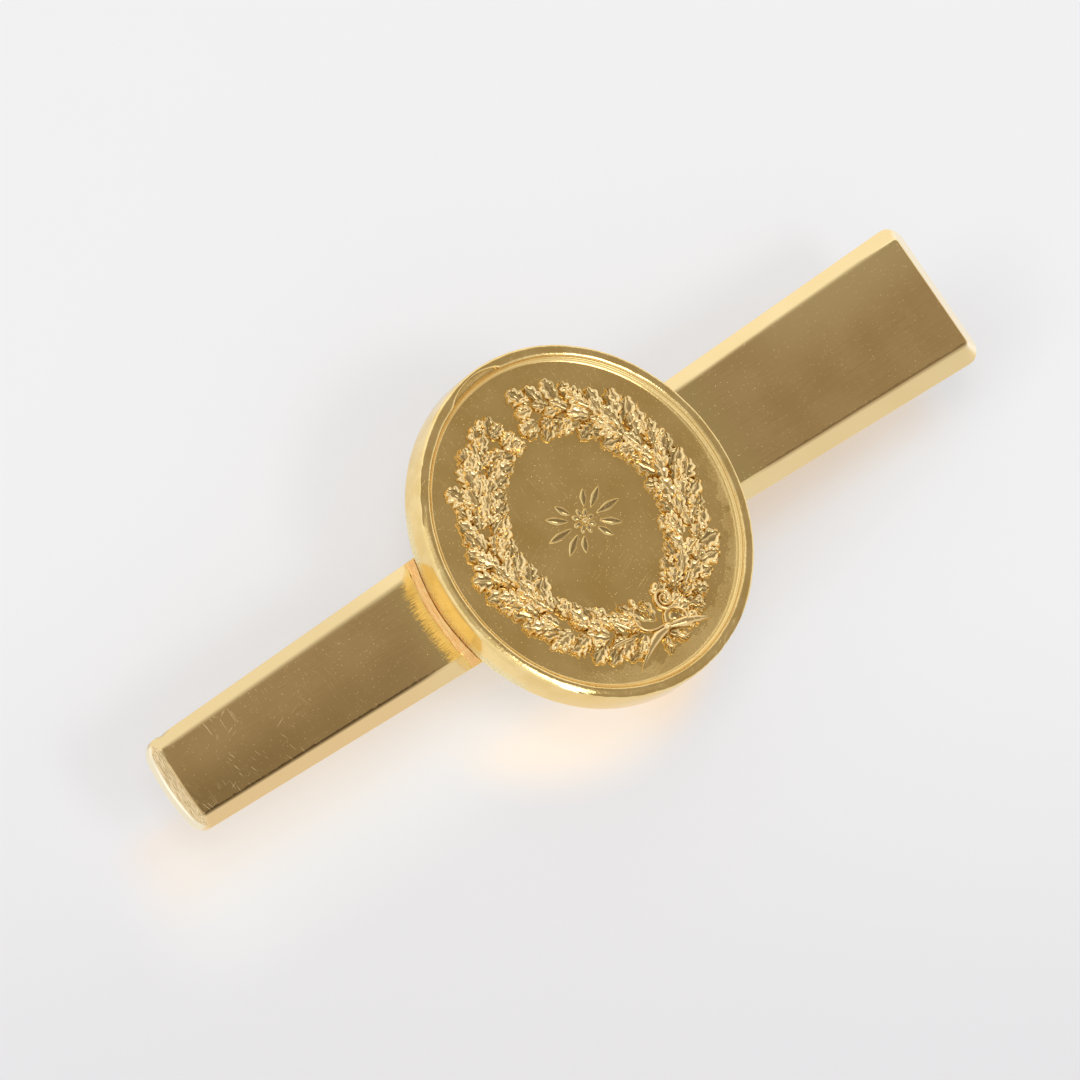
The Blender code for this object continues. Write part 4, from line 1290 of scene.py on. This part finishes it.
        # leaves, count, offset and its spread in millimetres, lean, its spread and lift in degrees,
        # rise in millimetres, size and its spread, seed
        rows = (
            (broad, 22, 0.55, 0.12, 46, 18, 2.0, 0.00, 1.0, 0.12, 11),
            (broad, 19, -0.52, 0.12, -46, 18, 2.0, 0.00, 0.96, 0.12, 23),
            (broad, 17, 0.24, 0.25, 24, 28, 2.6, 0.03, 0.88, 0.14, 37),
            (broad, 16, -0.26, 0.25, -24, 28, 2.6, 0.04, 0.86, 0.14, 41),
            (slim, 11, 0.0, 0.4, 4, 34, 2.4, 0.05, 0.85, 0.14, 53),
            (acorns, 8, 0.8, 0.5, 30, 50, 2.0, 0.04, 1.0, 0.15, 67),
            (acorns, 8, -0.75, 0.5, -30, 50, 2.0, 0.04, 1.0, 0.15, 79),
        )
        group = leaf_row_group()
        shape = bmesh.new()
        for side in Side:
            outward = -side.value
            for row in rows:
                leaves, count, offset, offset_spread, lean, lean_spread, lift, rise, size, size_spread, seed = row
                shape.from_mesh(group.grow(self.branch(side), {
                    "Leaves": leaves,
                    "Count": count,
                    "Offset": outward * offset * MM,
                    "Offset Spread": offset_spread * MM,
                    "Lean": outward * math.radians(lean),
                    "Lean Spread": math.radians(lean_spread),
                    "Lift": math.radians(lift),
                    "Roll": self.leaf_roll,
                    "Rise": rise * MM,
                    "Size": size,
                    "Size Spread": size_spread,
                    "Half Width": self.half_width,
                    "Seed": seed + self.side_seed * (side is Side.WIDE),
                    "Finish": finish,
                }))
        high = self.medallion.field + self.relief
        for corner in shape.verts:
            corner.co.z -= self.flattened * max(corner.co.z - high, 0.0)
        mesh = bpy.data.meshes.new("oak_wreath")
        shape.to_mesh(mesh)
        shape.free()
        return self.dress(finish_mesh("oak_wreath", mesh, finish))

    def build_knot(self, finish: Material) -> Piece:
        """Build the knot below the branches: crossed stems, a bow, small leaves, a rose and berries."""
        floor = self.medallion.field - self.sink
        crest = self.medallion.field + self.relief
        skin = Skin()

        def line(knots: Sequence[Flat], widths: Sequence[float], height: float) -> None:
            """Add a raised line through points given in millimetres from the medal's centre."""
            path = smooth_path([self.spot(*knot) for knot in knots], 8)
            skin.stroke(path, [width * MM for width in widths], floor, crest + height * MM)

        tail = (0.3, 0.5, 0.68, 0.5, 0.05)
        line([(0.85, -7.08), (0.22, -7.16), (-0.48, -7.25), (-1.41, -7.63), (-2.55, -8.33)], tail, 0.02)
        line([(0.31, -7.05), (0.91, -7.17), (1.63, -7.36), (2.42, -7.63), (3.27, -7.97)], tail, 0.05)
        for middle, radii, heading in (
            ((-0.55, -5.75), (0.6, 0.3), 1.9),
            ((-0.1, -6.2), (0.5, 0.28), 2.5),
            ((1.32, -6.82), (0.5, 0.4), -0.4),
        ):
            size = (radii[0] * MM, radii[1] * MM)
            skin.dome(self.spot(*middle), size, heading, floor, crest - 0.1 * MM, 20)
        line((
            (0.34, -6.9), (-0.27, -6.85), (-0.86, -6.6), (-1.12, -6.1),
            (-0.95, -5.55), (-0.6, -5.25), (-0.25, -5.5),
        ), (0.16, 0.2, 0.1), 0.0)
        line((
            (0.49, -6.85), (0.8, -6.38), (1.44, -6.38), (1.88, -6.8),
            (1.84, -7.25), (1.25, -7.2), (0.52, -6.97),
        ), (0.16, 0.2, 0.16), 0.05)
        for knots in (
            ((-1.2, -6.6), (-1.72, -5.95), (-2.25, -5.34), (-2.8, -4.8)),
            ((-1.3, -6.75), (-2.2, -6.5), (-3.1, -6.4), (-3.9, -6.4)),
            ((-1.1, -6.3), (-1.38, -5.75), (-1.6, -5.2), (-1.95, -4.75)),
            ((0.8, -7.4), (0.86, -7.76), (1.13, -8.0), (1.7, -8.0)),
            ((0.1, -7.45), (-0.1, -7.8), (0.02, -8.08), (0.45, -8.15)),
        ):
            line(knots, (0.1, 0.32, 0.3, 0.05), -0.02)
        for salt, (x, y, heading, length) in enumerate(self.knot_leaves):
            turn = Matrix.Translation((*self.spot(x, y), self.medallion.field))
            turn @= Matrix.Rotation(math.radians(heading), 4, "Z")
            rings = self.leaf_rings(length * MM, 0.26 * length * MM, 2, salt)
            skin.loft([[turn @ Vector(point) for point in ring] for ring in rings])
        rose = [
            (1.25 + reach * math.cos(turn), -5.7 + reach * math.sin(turn))
            for turn, reach in zip(spread(0, 3.6 * math.pi, 20), spread(0.16, 0.62, 20))
        ]
        line(rose, (0.14, 0.2, 0.24), 0.08)
        for x, y, radius in (
            (1.25, -5.7, 0.13), (0.45, -7.04, 0.3), (1.06, -7.83, 0.13),
            (1.77, -7.8, 0.12), (0.26, -7.81, 0.13),
        ):
            skin.dome(self.spot(x, y), (radius * MM, radius * 0.8 * MM), 0.3, floor, crest + 0.1 * MM)
        return self.dress(skin.build("wreath_knot", finish))

    def build_flourish(self, finish: Material) -> Piece:
        """Build the ornament in the middle of the field: a rosette between two sprays of plain leaves."""
        floor = self.medallion.field - 0.05 * MM
        crest = self.medallion.field + 0.1 * MM
        at_x, at_y = self.spot(-0.1, 0.1)
        skin = Skin()
        for angle in spread(0, 2 * math.pi, 8)[:-1]:
            out = Vector((math.cos(angle), math.sin(angle))) * 0.46 * MM
            skin.dome((at_x + out.x, at_y + out.y), (0.3 * MM, 0.17 * MM), angle, floor, crest, 8)
        skin.dome((at_x, at_y), (0.2 * MM, 0.2 * MM), 0.0, floor, crest + 0.05 * MM, 8)
        middle = Vector((at_x, at_y))
        widths = [width * MM for width in (0.06, 0.3, 0.44, 0.3, 0.04)]
        # lean in degrees, start and length in millimetres
        leaves = ((0, 0.95, 1.75), (27, 0.95, 1.35), (-27, 0.95, 1.35), (52, 0.85, 0.9), (-52, 0.85, 0.9))
        for side in Side:
            for lean, start, length in leaves:
                way = Vector((side.value * math.cos(math.radians(lean)), math.sin(math.radians(lean))))
                bend = Vector((0, math.copysign(0.12, lean) if lean else 0.0))
                knots = [
                    middle + (way * (start + length * share) + bend * share ** 2) * MM
                    for share in (0, 0.35, 0.7, 1)
                ]
                skin.stroke(smooth_path(knots, 5), widths, floor, crest)
        return self.dress(skin.build("field_flourish", finish))

    def dress(self, piece: Piece) -> Piece:
        """Soften a raised piece's creases, and give it its body."""
        piece.data.set_sharp_from_angle(angle=self.crease)
        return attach(piece, Body.FRONT.value)


# The clasp


@dataclass
class Clasp:
    """The sprung clasp: bracket, rivet, torsion spring and toothed arm."""

    bar: TieBar
    sheet: float = 0.55 * MM
    bend: float = 0.2 * MM
    edge_round: float = 0.1 * MM
    ear_shoulder: float = 0.8
    jaw_length: float = 7.0 * MM
    jaw_half: float = 2.45 * MM
    jaw_depth: float = 2.4 * MM
    throat_ramp: float = 4.0 * MM
    tooth_pitch: float = 1.25 * MM
    tooth_depth: float = 0.6 * MM
    tab_flare: float = 6.0 * MM
    tab_arch: float = 0.8 * MM
    tab_flat: float = 2.2 * MM
    tab_round: float = 3.0 * MM
    ear_radius: float = 1.6 * MM
    ear_foot: float = 4.2 * MM
    wire: float = 0.5 * MM
    coil_radius: float = 1.2 * MM
    half_turns: int = 5
    leg_gap: float = 0.1 * MM
    upper_leg: float = 3.4 * MM
    lower_leg: float = 6.0 * MM
    lip_gap: float = 0.05 * MM
    lip_round: float = 0.06 * MM
    tooth_share: float = 0.4
    rib_count: int = 6
    rib_half: float = 0.24 * MM
    rib_height: float = 0.13 * MM
    rib_start: float = 4.4 * MM
    rib_end: float = 9.4 * MM
    broken_edge: float = 0.05 * MM
    bracket_radius: float = 1.45 * MM
    bracket_foot: float = 2.6 * MM
    head_height: float = 0.4 * MM
    head_dome: float = 0.32 * MM
    shank_radius: float = 0.75 * MM

    def __post_init__(self) -> None:
        """Take the clasp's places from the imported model."""
        pin_low, pin_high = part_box("hinge_pin")
        self.hinge_x, self.hinge_z = (pin_low.x + pin_high.x) / 2, (pin_low.z + pin_high.z) / 2
        self.head_radius, self.pin_half = (pin_high.z - pin_low.z) / 2, pin_high.y
        arm_low, arm_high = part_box("clasp_arm")
        self.tip, self.tab_tip = arm_low.x, arm_high.x
        self.jaw_edge, self.tab_half = arm_high.z, arm_high.y
        self.hinge_half = self.pin_half - 0.45 * MM
        self.jaw_back = self.tip + self.jaw_length
        self.belly = self.jaw_back + self.throat_ramp
        self.neck = self.hinge_x + self.ear_foot
        self.coil_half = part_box("clasp_spring")[1].y - self.wire / 2

    def section(self, x: float, base: float, edge: float, half: float, thickness: float) -> list[Point]:
        """Draw the channel's cross-section.

        Args:
            x: Where along the clasp.
            base: The height of its outer face.
            edge: The height that its walls reach.
            half: Its half width.
            thickness: The thickness of its base.

        Returns:
            The ring of its corners, with rounded bends and edges.
        """
        up = math.copysign(1, edge - base)

        def face(side: int, reach: float, soft: float, bend: float, foot: float) -> list[Flat]:
            """Draw one face of one wall, from its edge down round its bend to the base."""
            points = [(side * (reach + soft * a), edge - up * self.edge_round * b) for a, b in EDGE_STEPS]
            for turn in spread(0, math.pi / 2, 6):
                inset, drop = bend * (1 - math.cos(turn)), bend * (1 - math.sin(turn))
                points.append((side * (reach - inset), base + up * (foot + drop)))
            return points

        outer = (half, -self.edge_round, self.sheet + self.bend, 0.0)
        inner = (half - self.sheet, self.edge_round, self.bend, thickness)
        ring = face(1, *outer) + face(-1, *outer)[::-1] + face(-1, *inner) + face(1, *inner)[::-1]
        return [(x, y, z) for y, z in ring]

    def groove(self, place: float) -> float:
        """Return the depth of a tooth's groove at a share of its pitch."""
        return self.tooth_depth * max(1 - abs(place % 1 - 0.5) / self.tooth_share, 0.0)

    def ear(self, x: float, edge: float, radius: float, foot: float) -> float:
        """Return how far an ear reaches at x: round about the pin, with straight flanks."""
        distance = abs(x - self.hinge_x)
        shoulder = radius * self.ear_shoulder
        sign = math.copysign(1, self.hinge_z - edge)
        if distance <= shoulder:
            return self.hinge_z + sign * math.sqrt(radius ** 2 - distance ** 2)
        top = self.hinge_z + sign * radius * math.sqrt(1 - self.ear_shoulder ** 2)
        return top + (edge - top) * min((distance - shoulder) / (foot - shoulder), 1)

    def arm_floor(self, x: float) -> float:
        """Return the height of the arm's underside."""
        jaw = (self.bar.base - self.jaw_depth) * (1 - smooth_step(x, self.tip, self.belly))
        share = clamp((x - self.neck) / (self.tab_tip - self.tab_flat - self.neck))
        return jaw + self.tab_arch * math.sin(math.pi * share) ** 2

    def arm_half(self, x: float) -> float:
        """Return the arm's half width."""
        ear_start = self.hinge_x - self.ear_foot
        if x < ear_start:
            nose = self.jaw_half * (0.82 + 0.18 * smooth_step(x, self.tip, self.tip + 1.0 * MM))
            return nose + (self.hinge_half - self.jaw_half) * smooth_step(x, self.jaw_back, ear_start)
        flare = smooth_step(x, self.neck, self.neck + self.tab_flare)
        flared = self.hinge_half + (self.tab_half - self.hinge_half) * flare
        turn = clamp((x - self.tab_tip) / self.tab_round + 1)
        return flared * (0.5 + 0.5 * math.sqrt(1 - turn ** 2))

    def arm_edge(self, x: float) -> float:
        """Return the height of the arm's walls, with the jaw's teeth."""
        low = self.arm_floor(x) + self.sheet + self.bend + 0.12 * MM
        if abs(x - self.hinge_x) < self.ear_foot:
            return self.ear(x, low, self.ear_radius, self.ear_foot)
        height = low + (self.jaw_edge - low) * (1 - smooth_step(x, self.jaw_back, self.belly))
        first = self.tip + self.lip_gap + 2 * self.sheet
        if first < x < first + 5 * self.tooth_pitch:
            height -= self.groove((x - first) / self.tooth_pitch)
        return height

    def build_arm(self, finish: Material) -> list[Piece]:
        """Build the arm, its toothed front lip and the grip ribs under its tab."""
        step = 0.02 * MM
        rings = []
        for x in [*spread(self.tip, self.belly, 176), *spread(self.belly, self.tab_tip, 260)[1:]]:
            slope = (self.arm_floor(x + step) - self.arm_floor(x - step)) / (2 * step)
            thickness = self.sheet * math.hypot(1, slope)
            rings.append(self.section(x, self.arm_floor(x), self.arm_edge(x), self.arm_half(x), thickness))
        arm = Skin(rings).build("arm_channel", finish, self.broken_edge)
        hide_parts("clasp_arm")
        pieces = [arm, self.build_lip(finish), self.build_ribs(finish)]
        for piece in pieces:
            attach(piece, Body.CLASP.value)
        return pieces

    def build_lip(self, finish: Material) -> Piece:
        """Build the plate that closes the jaw's front, with three grooves in its edge."""
        half = self.arm_half(self.tip) - self.sheet / 2
        front, back = self.tip + self.lip_gap, self.tip + self.lip_gap + self.sheet
        foot = self.arm_floor(self.tip) + self.sheet / 2
        pitch = 2 * (half - self.sheet / 2) / 3
        soft = self.lip_round
        rings = []
        for y in spread(-half, half, 72):
            groove = self.groove(y / pitch + 0.5) if abs(y) < 1.5 * pitch else 0.0
            top = self.jaw_edge - self.lip_gap - groove
            rings.append([
                (front, y, foot), *((front + soft * b, y, top - soft * a) for a, b in EDGE_STEPS),
                *((back - soft * a, y, top - soft * b) for a, b in EDGE_STEPS), (back, y, foot),
            ])
        return Skin(rings).build("jaw_lip", finish)

    def build_ribs(self, finish: Material) -> Piece:
        """Press six grip ribs into the underside of the thumb tab."""
        half = self.tab_half - 1.1 * MM
        rings = []
        for y in spread(-half, half, 16):
            end = math.sqrt(max(1 - (y / half) ** 6, 0.0))
            wide, deep = self.rib_half * (0.25 + 0.75 * end), self.rib_height * (0.1 + 0.9 * end)
            rings.append([
                *((wide * math.cos(turn), y, -deep * math.sin(turn)) for turn in spread(0, math.pi, 6)),
                (-0.2 * MM, y, 0.1 * MM), (0.2 * MM, y, 0.1 * MM),
            ])
        rib = bpy.data.objects.new("grip_rib", Skin(rings).mesh("grip_rib"))
        places = spread(self.neck + self.rib_start, self.neck + self.rib_end, 24)
        line = [(x, 0.0, self.arm_floor(x)) for x in places]
        grown = rib_group().grow(line, {"Rib": rib, "Count": self.rib_count, "Finish": finish})
        return finish_mesh("thumb_ribs", grown, finish)

    def build_bracket(self, finish: Material, solder: Material) -> list[Piece]:
        """Build the bracket under the bar and the solder that holds it."""
        low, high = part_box("hinge_bracket")
        edge = high.z - self.sheet - self.bend - 0.2 * MM
        rings = []
        for x in spread(low.x, high.x, 96):
            ear = self.ear(x, edge, self.bracket_radius, self.bracket_foot)
            rings.append(self.section(x, high.z, ear, high.y, self.sheet))
        bracket = Skin(rings).build("hinge_channel", finish, self.broken_edge)
        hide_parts("hinge_bracket")
        rings = []
        for share in spread(0, 1, 6):
            height = high.z + (self.bar.base - high.z) * share
            flare = 0.06 * MM + 0.34 * MM * share ** 2
            ring = []
            for direction in around(96):
                x, y = (math.copysign(abs(part) ** 0.22, part) for part in direction)
                more = flare * (1 + 0.7 * ripple((x * 3, y * 3, 0), 1.0) * share)
                reach_x, reach_y = (high.x - low.x) / 2 + more, high.y - self.sheet * 0.6 + more
                ring.append((self.hinge_x + x * reach_x, y * reach_y, height))
            rings.append(ring)
        joint = Skin(rings).build("bracket_solder_seam", solder)
        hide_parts("bracket_solder")
        return [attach(piece, Body.FRONT.value) for piece in (bracket, joint)]

    def build_rivet(self, finish: Material) -> Piece:
        """Build the hinge pin as a rivet with domed heads."""
        under = self.pin_half - self.head_height
        rim = under + self.head_height - self.head_dome
        half = [
            (self.head_radius * math.cos(turn), rim + self.head_dome * math.sin(turn))
            for turn in spread(1.45, 0, 8)
        ]
        half += [
            (self.head_radius, under + 0.03 * MM),
            (self.head_radius - 0.04 * MM, under),
            (self.shank_radius, under),
        ]
        profile = [(radius, -y) for radius, y in half] + [(radius, y) for radius, y in reversed(half)]
        piece = Skin([
            [(self.hinge_x + radius * cosine, y, self.hinge_z + radius * sine) for cosine, sine in around(64)]
            for radius, y in profile
        ]).build("hinge_rivet", finish)
        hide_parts("hinge_pin")
        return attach(piece, Body.FRONT.value)

    def leg_slope(self, length: float, reach: float) -> float:
        """Return the slope of a leg, tangent to the coil, whose end is reach off the axis."""
        return math.asin(reach / math.hypot(self.coil_radius, length)) - math.atan2(self.coil_radius, length)

    def build_spring(self, finish: Material) -> Piece:
        """Wind the torsion spring between the bar and the arm."""
        bracket_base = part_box("hinge_bracket")[1].z - self.sheet
        upper = self.leg_slope(self.upper_leg, bracket_base - self.leg_gap - self.wire / 2 - self.hinge_z)
        lower = self.leg_slope(self.lower_leg, self.hinge_z - self.sheet - self.leg_gap - self.wire / 2)
        first, last = math.pi / 2 + upper, math.pi / 2 + self.half_turns * math.pi - lower
        coil = []
        for share in spread(0, 1, 90):
            turn = first + (last - first) * share
            y = self.coil_half * (2 * share - 1)
            coil.append(Vector((self.coil_radius * math.cos(turn), y, self.coil_radius * math.sin(turn))))
        ends = (
            coil[0] + Vector((math.cos(upper), 0, math.sin(upper))) * self.upper_leg,
            coil[-1] + Vector((math.cos(lower), 0, -math.sin(lower))) * self.lower_leg,
        )
        route = [*(ends[0].lerp(coil[0], share) for share in spread(0, 1, 8)[:-1]), *coil]
        route += [coil[-1].lerp(ends[1], share) for share in spread(0, 1, 12)[1:]]
        axis = Vector((self.hinge_x, 0, self.hinge_z))
        values = {"Radius": self.wire / 2, "Sides": 16, "Finish": finish}
        mesh = wire_group().grow([point + axis for point in route], values)
        piece = finish_mesh("spring_wire", mesh, finish)
        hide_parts("clasp_spring")
        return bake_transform(piece)


# The studio


@dataclass
class Studio:
    """The pale floor, the soft light and the camera at the photograph's angle."""

    target: Point = (-0.45 * MM, -0.18 * MM, 6.7 * MM)
    azimuth: float = 183.08
    elevation: float = 55.79
    roll: float = math.radians(53.11)
    distance: float = 350 * MM
    shift: Flat = (-1.72 * MM, -0.41 * MM)
    lens: float = 217.2
    light_distance: float = 0.9
    floor_reach: float = 2.0
    floor_thickness: float = 0.01

    def towards(self, azimuth: float, elevation: float) -> Vector:
        """Return the direction with this azimuth and elevation, in degrees."""
        a, e = math.radians(azimuth), math.radians(elevation)
        return Vector((math.cos(e) * math.cos(a), math.cos(e) * math.sin(a), math.sin(e)))

    def build_camera(self) -> None:
        """Set the camera where the photograph was taken from."""
        back = self.towards(self.azimuth, self.elevation)
        level = Vector((0, 0, 1)).cross(back).normalized()
        rise = back.cross(level)
        right = level * math.cos(self.roll) + rise * math.sin(self.roll)
        up = rise * math.cos(self.roll) - level * math.sin(self.roll)
        data = bpy.data.cameras.new("camera")
        data.lens = self.lens
        data.clip_start = 0.01
        data.clip_end = 20
        camera = add_object("camera", data)
        place = Vector(self.target) + back * self.distance + right * self.shift[0] + up * self.shift[1]
        turn = Matrix((right, up, back)).transposed().to_4x4()
        camera.matrix_world = Matrix.Translation(place) @ turn
        bpy.context.scene.camera = camera

    def build_light(
        self, name: str, azimuth: float, elevation: float, size: float, power: float, mirrored: bool = True
    ) -> None:
        """Add one soft light that shines on the tie pin.

        Args:
            name: The light's name.
            azimuth: Where it hangs, in degrees from +X.
            elevation: How high it hangs, in degrees.
            size: The diameter of its disc.
            power: Its power in watts.
            mirrored: Whether the gold reflects it.
        """
        data = bpy.data.lights.new(name, "AREA")
        data.shape = "DISK"
        data.size = size
        data.energy = power
        light = add_object(name, data)
        light.visible_glossy = mirrored
        back = self.towards(azimuth, elevation)
        facing = back.to_track_quat("Z", "Y").to_matrix().to_4x4()
        light.matrix_world = Matrix.Translation(back * self.light_distance) @ facing

    def build_world(self) -> None:
        """Light the scene like a pale tent, brighter on one side, with openings that the gold reflects."""
        world = bpy.data.worlds.new("tent")
        world.use_nodes = True
        bench = NodeBench(world.node_tree)
        direction = bench.add("ShaderNodeTexCoord", output="Generated")

        def near(azimuth: float, elevation: float, outer: float, inner: float) -> Wire:
            """Rise from 0 at one angle from a direction to 1 at a smaller one, in degrees."""
            ways = {0: direction, 1: self.towards(azimuth, elevation)}
            facing = bench.add("ShaderNodeVectorMath", {"operation": "DOT_PRODUCT"}, ways, output="Value")
            return bench.rise(facing, math.cos(math.radians(outer)), math.cos(math.radians(inner)))

        colour = bench.coats(
            bench.tint(near(51, 25, 110, 15), (0.86, 0.865, 0.88), (1.1, 1.09, 1.07)),
            (near(-50, 28, 34, 12), (0.8, 0.78, 0.77)),
            (near(183, 56, 20, 9), (1.12, 1.12, 1.14)),
            (near(170, 77, 20, 8), (0.55, 0.53, 0.49)),
            (near(3, 59, 40, 20), (0.365, 0.315, 0.25)),
        )
        bench.fill(world.node_tree.nodes["Background"], {"Color": colour})
        bpy.context.scene.world = world

    def build_floor(self) -> None:
        """Lay the pale floor, with the gold's warm light and a soft shade painted into its own glow."""
        material = bpy.data.materials.new("pale_floor")
        material.use_nodes = True
        bench = NodeBench(material.node_tree)
        at = bench.place()
        fibre = bench.grain(at, 6 * MM, 4.0)
        nearness = bench.axis(at, "X") * -0.48 - bench.axis(at, "Y") * 0.88
        far_shade = bench.rise(nearness, -5 * MM, 45 * MM)
        colour = bench.tint(far_shade, (0.39, 0.392, 0.4), (0.35, 0.35, 0.36))
        x, y = bench.axis(at, "X") + 0.45 * MM, bench.axis(at, "Y")
        below_bar = bench.band(y, -7.5 * MM, -3.4 * MM, -2.0 * MM, 0.0) * bench.rise(abs(x), 32 * MM, 28 * MM)
        lit = bench.band(x, -34 * MM, -26 * MM, -6 * MM, 3 * MM)
        lit = lit * bench.band(y, -12 * MM, -6 * MM, -4 * MM, -1 * MM)
        off_middle = (x * x + y * y).math("SQRT")
        below_disc = bench.rise(off_middle, 13.8 * MM, 10 * MM) * bench.rise(y, -5 * MM, -9 * MM)
        cream = bench.tint(bench.rise(x, 0.0, 5 * MM), (0.7, 0.57, 0.43), (0.74, 0.5, 0.26))
        past_end = bench.rise(x, 25 * MM, 33 * MM)
        shaded = bench.band(y + x * -0.15, -14 * MM, -9 * MM, -8 * MM, -2 * MM)
        shaded = shaded * bench.band(x, 8 * MM, 14 * MM, 34 * MM, 46 * MM) * (past_end * 0.16 + 0.22)
        glow = bench.coats(
            bench.tint(far_shade, (0.455, 0.455, 0.465), (0.38, 0.375, 0.385)),
            (below_bar * 0.6, (0.51, 0.4, 0.3)),
            (below_bar * bench.rise(x, 8 * MM, 16 * MM) * 0.5, (0.44, 0.3, 0.18)),
            (lit * 0.2, (0.8, 0.8, 0.72)),
            (below_disc * 0.85, cream),
            (shaded, bench.tint(past_end, (0.31, 0.26, 0.19), (0.27, 0.26, 0.25))),
        )
        bench.fill(material.node_tree.nodes["Principled BSDF"], {
            "Base Color": bench.tint(fibre * 0.06, colour, (0.3, 0.3, 0.3)), "Roughness": 0.6,
            "Emission Color": glow, "Emission Strength": 1.0,
        })
        reach = self.floor_reach
        corners = ((-reach, -reach), (reach, -reach), (reach, reach), (-reach, reach))
        skin = Skin([[(*corner, z) for corner in corners] for z in (-self.floor_thickness, 0.0)])
        skin.build("floor", material)

    def build(self) -> None:
        """Build the whole studio."""
        self.build_floor()
        self.build_world()
        self.build_light("key", -76, 64, 0.36, 1.15)
        self.build_light("fill", 158, 62, 0.3, 1.6, mirrored=False)
        self.build_camera()
        bpy.context.scene.view_settings.view_transform = "Standard"


def main() -> None:
    """Build every piece in order."""
    logging.basicConfig(level=logging.INFO, format="%(name)s: %(message)s")
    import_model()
    bar = TieBar()
    medallion = Medallion(bar)
    clasp = Clasp(bar)
    bar_gold = BarFinish(
        "satin_bar_gold", (0.86, 0.63, 0.31), (0.78, 0.56, 0.265), 0.18, bar.top, bar.lower_top_edge(),
        bar.half - bar.half_width(bar.half),
    ).material()
    bezel_gold = BezelFinish(
        "polished_bezel_gold", (1.0, 0.77, 0.36), (0.92, 0.68, 0.28), 0.15, medallion.rim
    ).material()
    medal_gold = MedalFinish(
        "struck_medal_gold", (0.95, 0.71, 0.31), (0.86, 0.61, 0.235), 0.17,
        medallion.centre, medallion.field_radius - medallion.cove_spread, medallion.field,
    ).material()
    solder = SolderFinish("copper_solder", (1.0, 0.66, 0.27), (0.98, 0.53, 0.18), 0.28).material()
    clasp_gold = ClaspFinish("stamped_clasp_gold", (0.92, 0.7, 0.36), (0.78, 0.57, 0.27), 0.3).material()
    rivet_gold = MetalFinish("turned_rivet_gold", (0.95, 0.74, 0.38), (0.82, 0.6, 0.28), 0.24).material()
    spring_metal = MetalFinish("drawn_spring_wire", (0.8, 0.7, 0.52), (0.62, 0.52, 0.36), 0.28).material()
    wreath = OakWreath(medallion)
    pieces = [
        bar.build(bar_gold),
        medallion.build_bezel(bezel_gold),
        medallion.build_disc(medal_gold),
        medallion.build_solder(solder),
        wreath.build_leaves(medal_gold),
        wreath.build_knot(medal_gold),
        wreath.build_flourish(medal_gold),
        *clasp.build_bracket(clasp_gold, solder),
        clasp.build_rivet(rivet_gold),
        clasp.build_spring(spring_metal),
        *clasp.build_arm(clasp_gold),
    ]
    for piece in pieces:
        log.info("%s: %d faces", piece.name, len(piece.data.polygons))
    Studio().build()


if __name__ == "__main__":
    main()
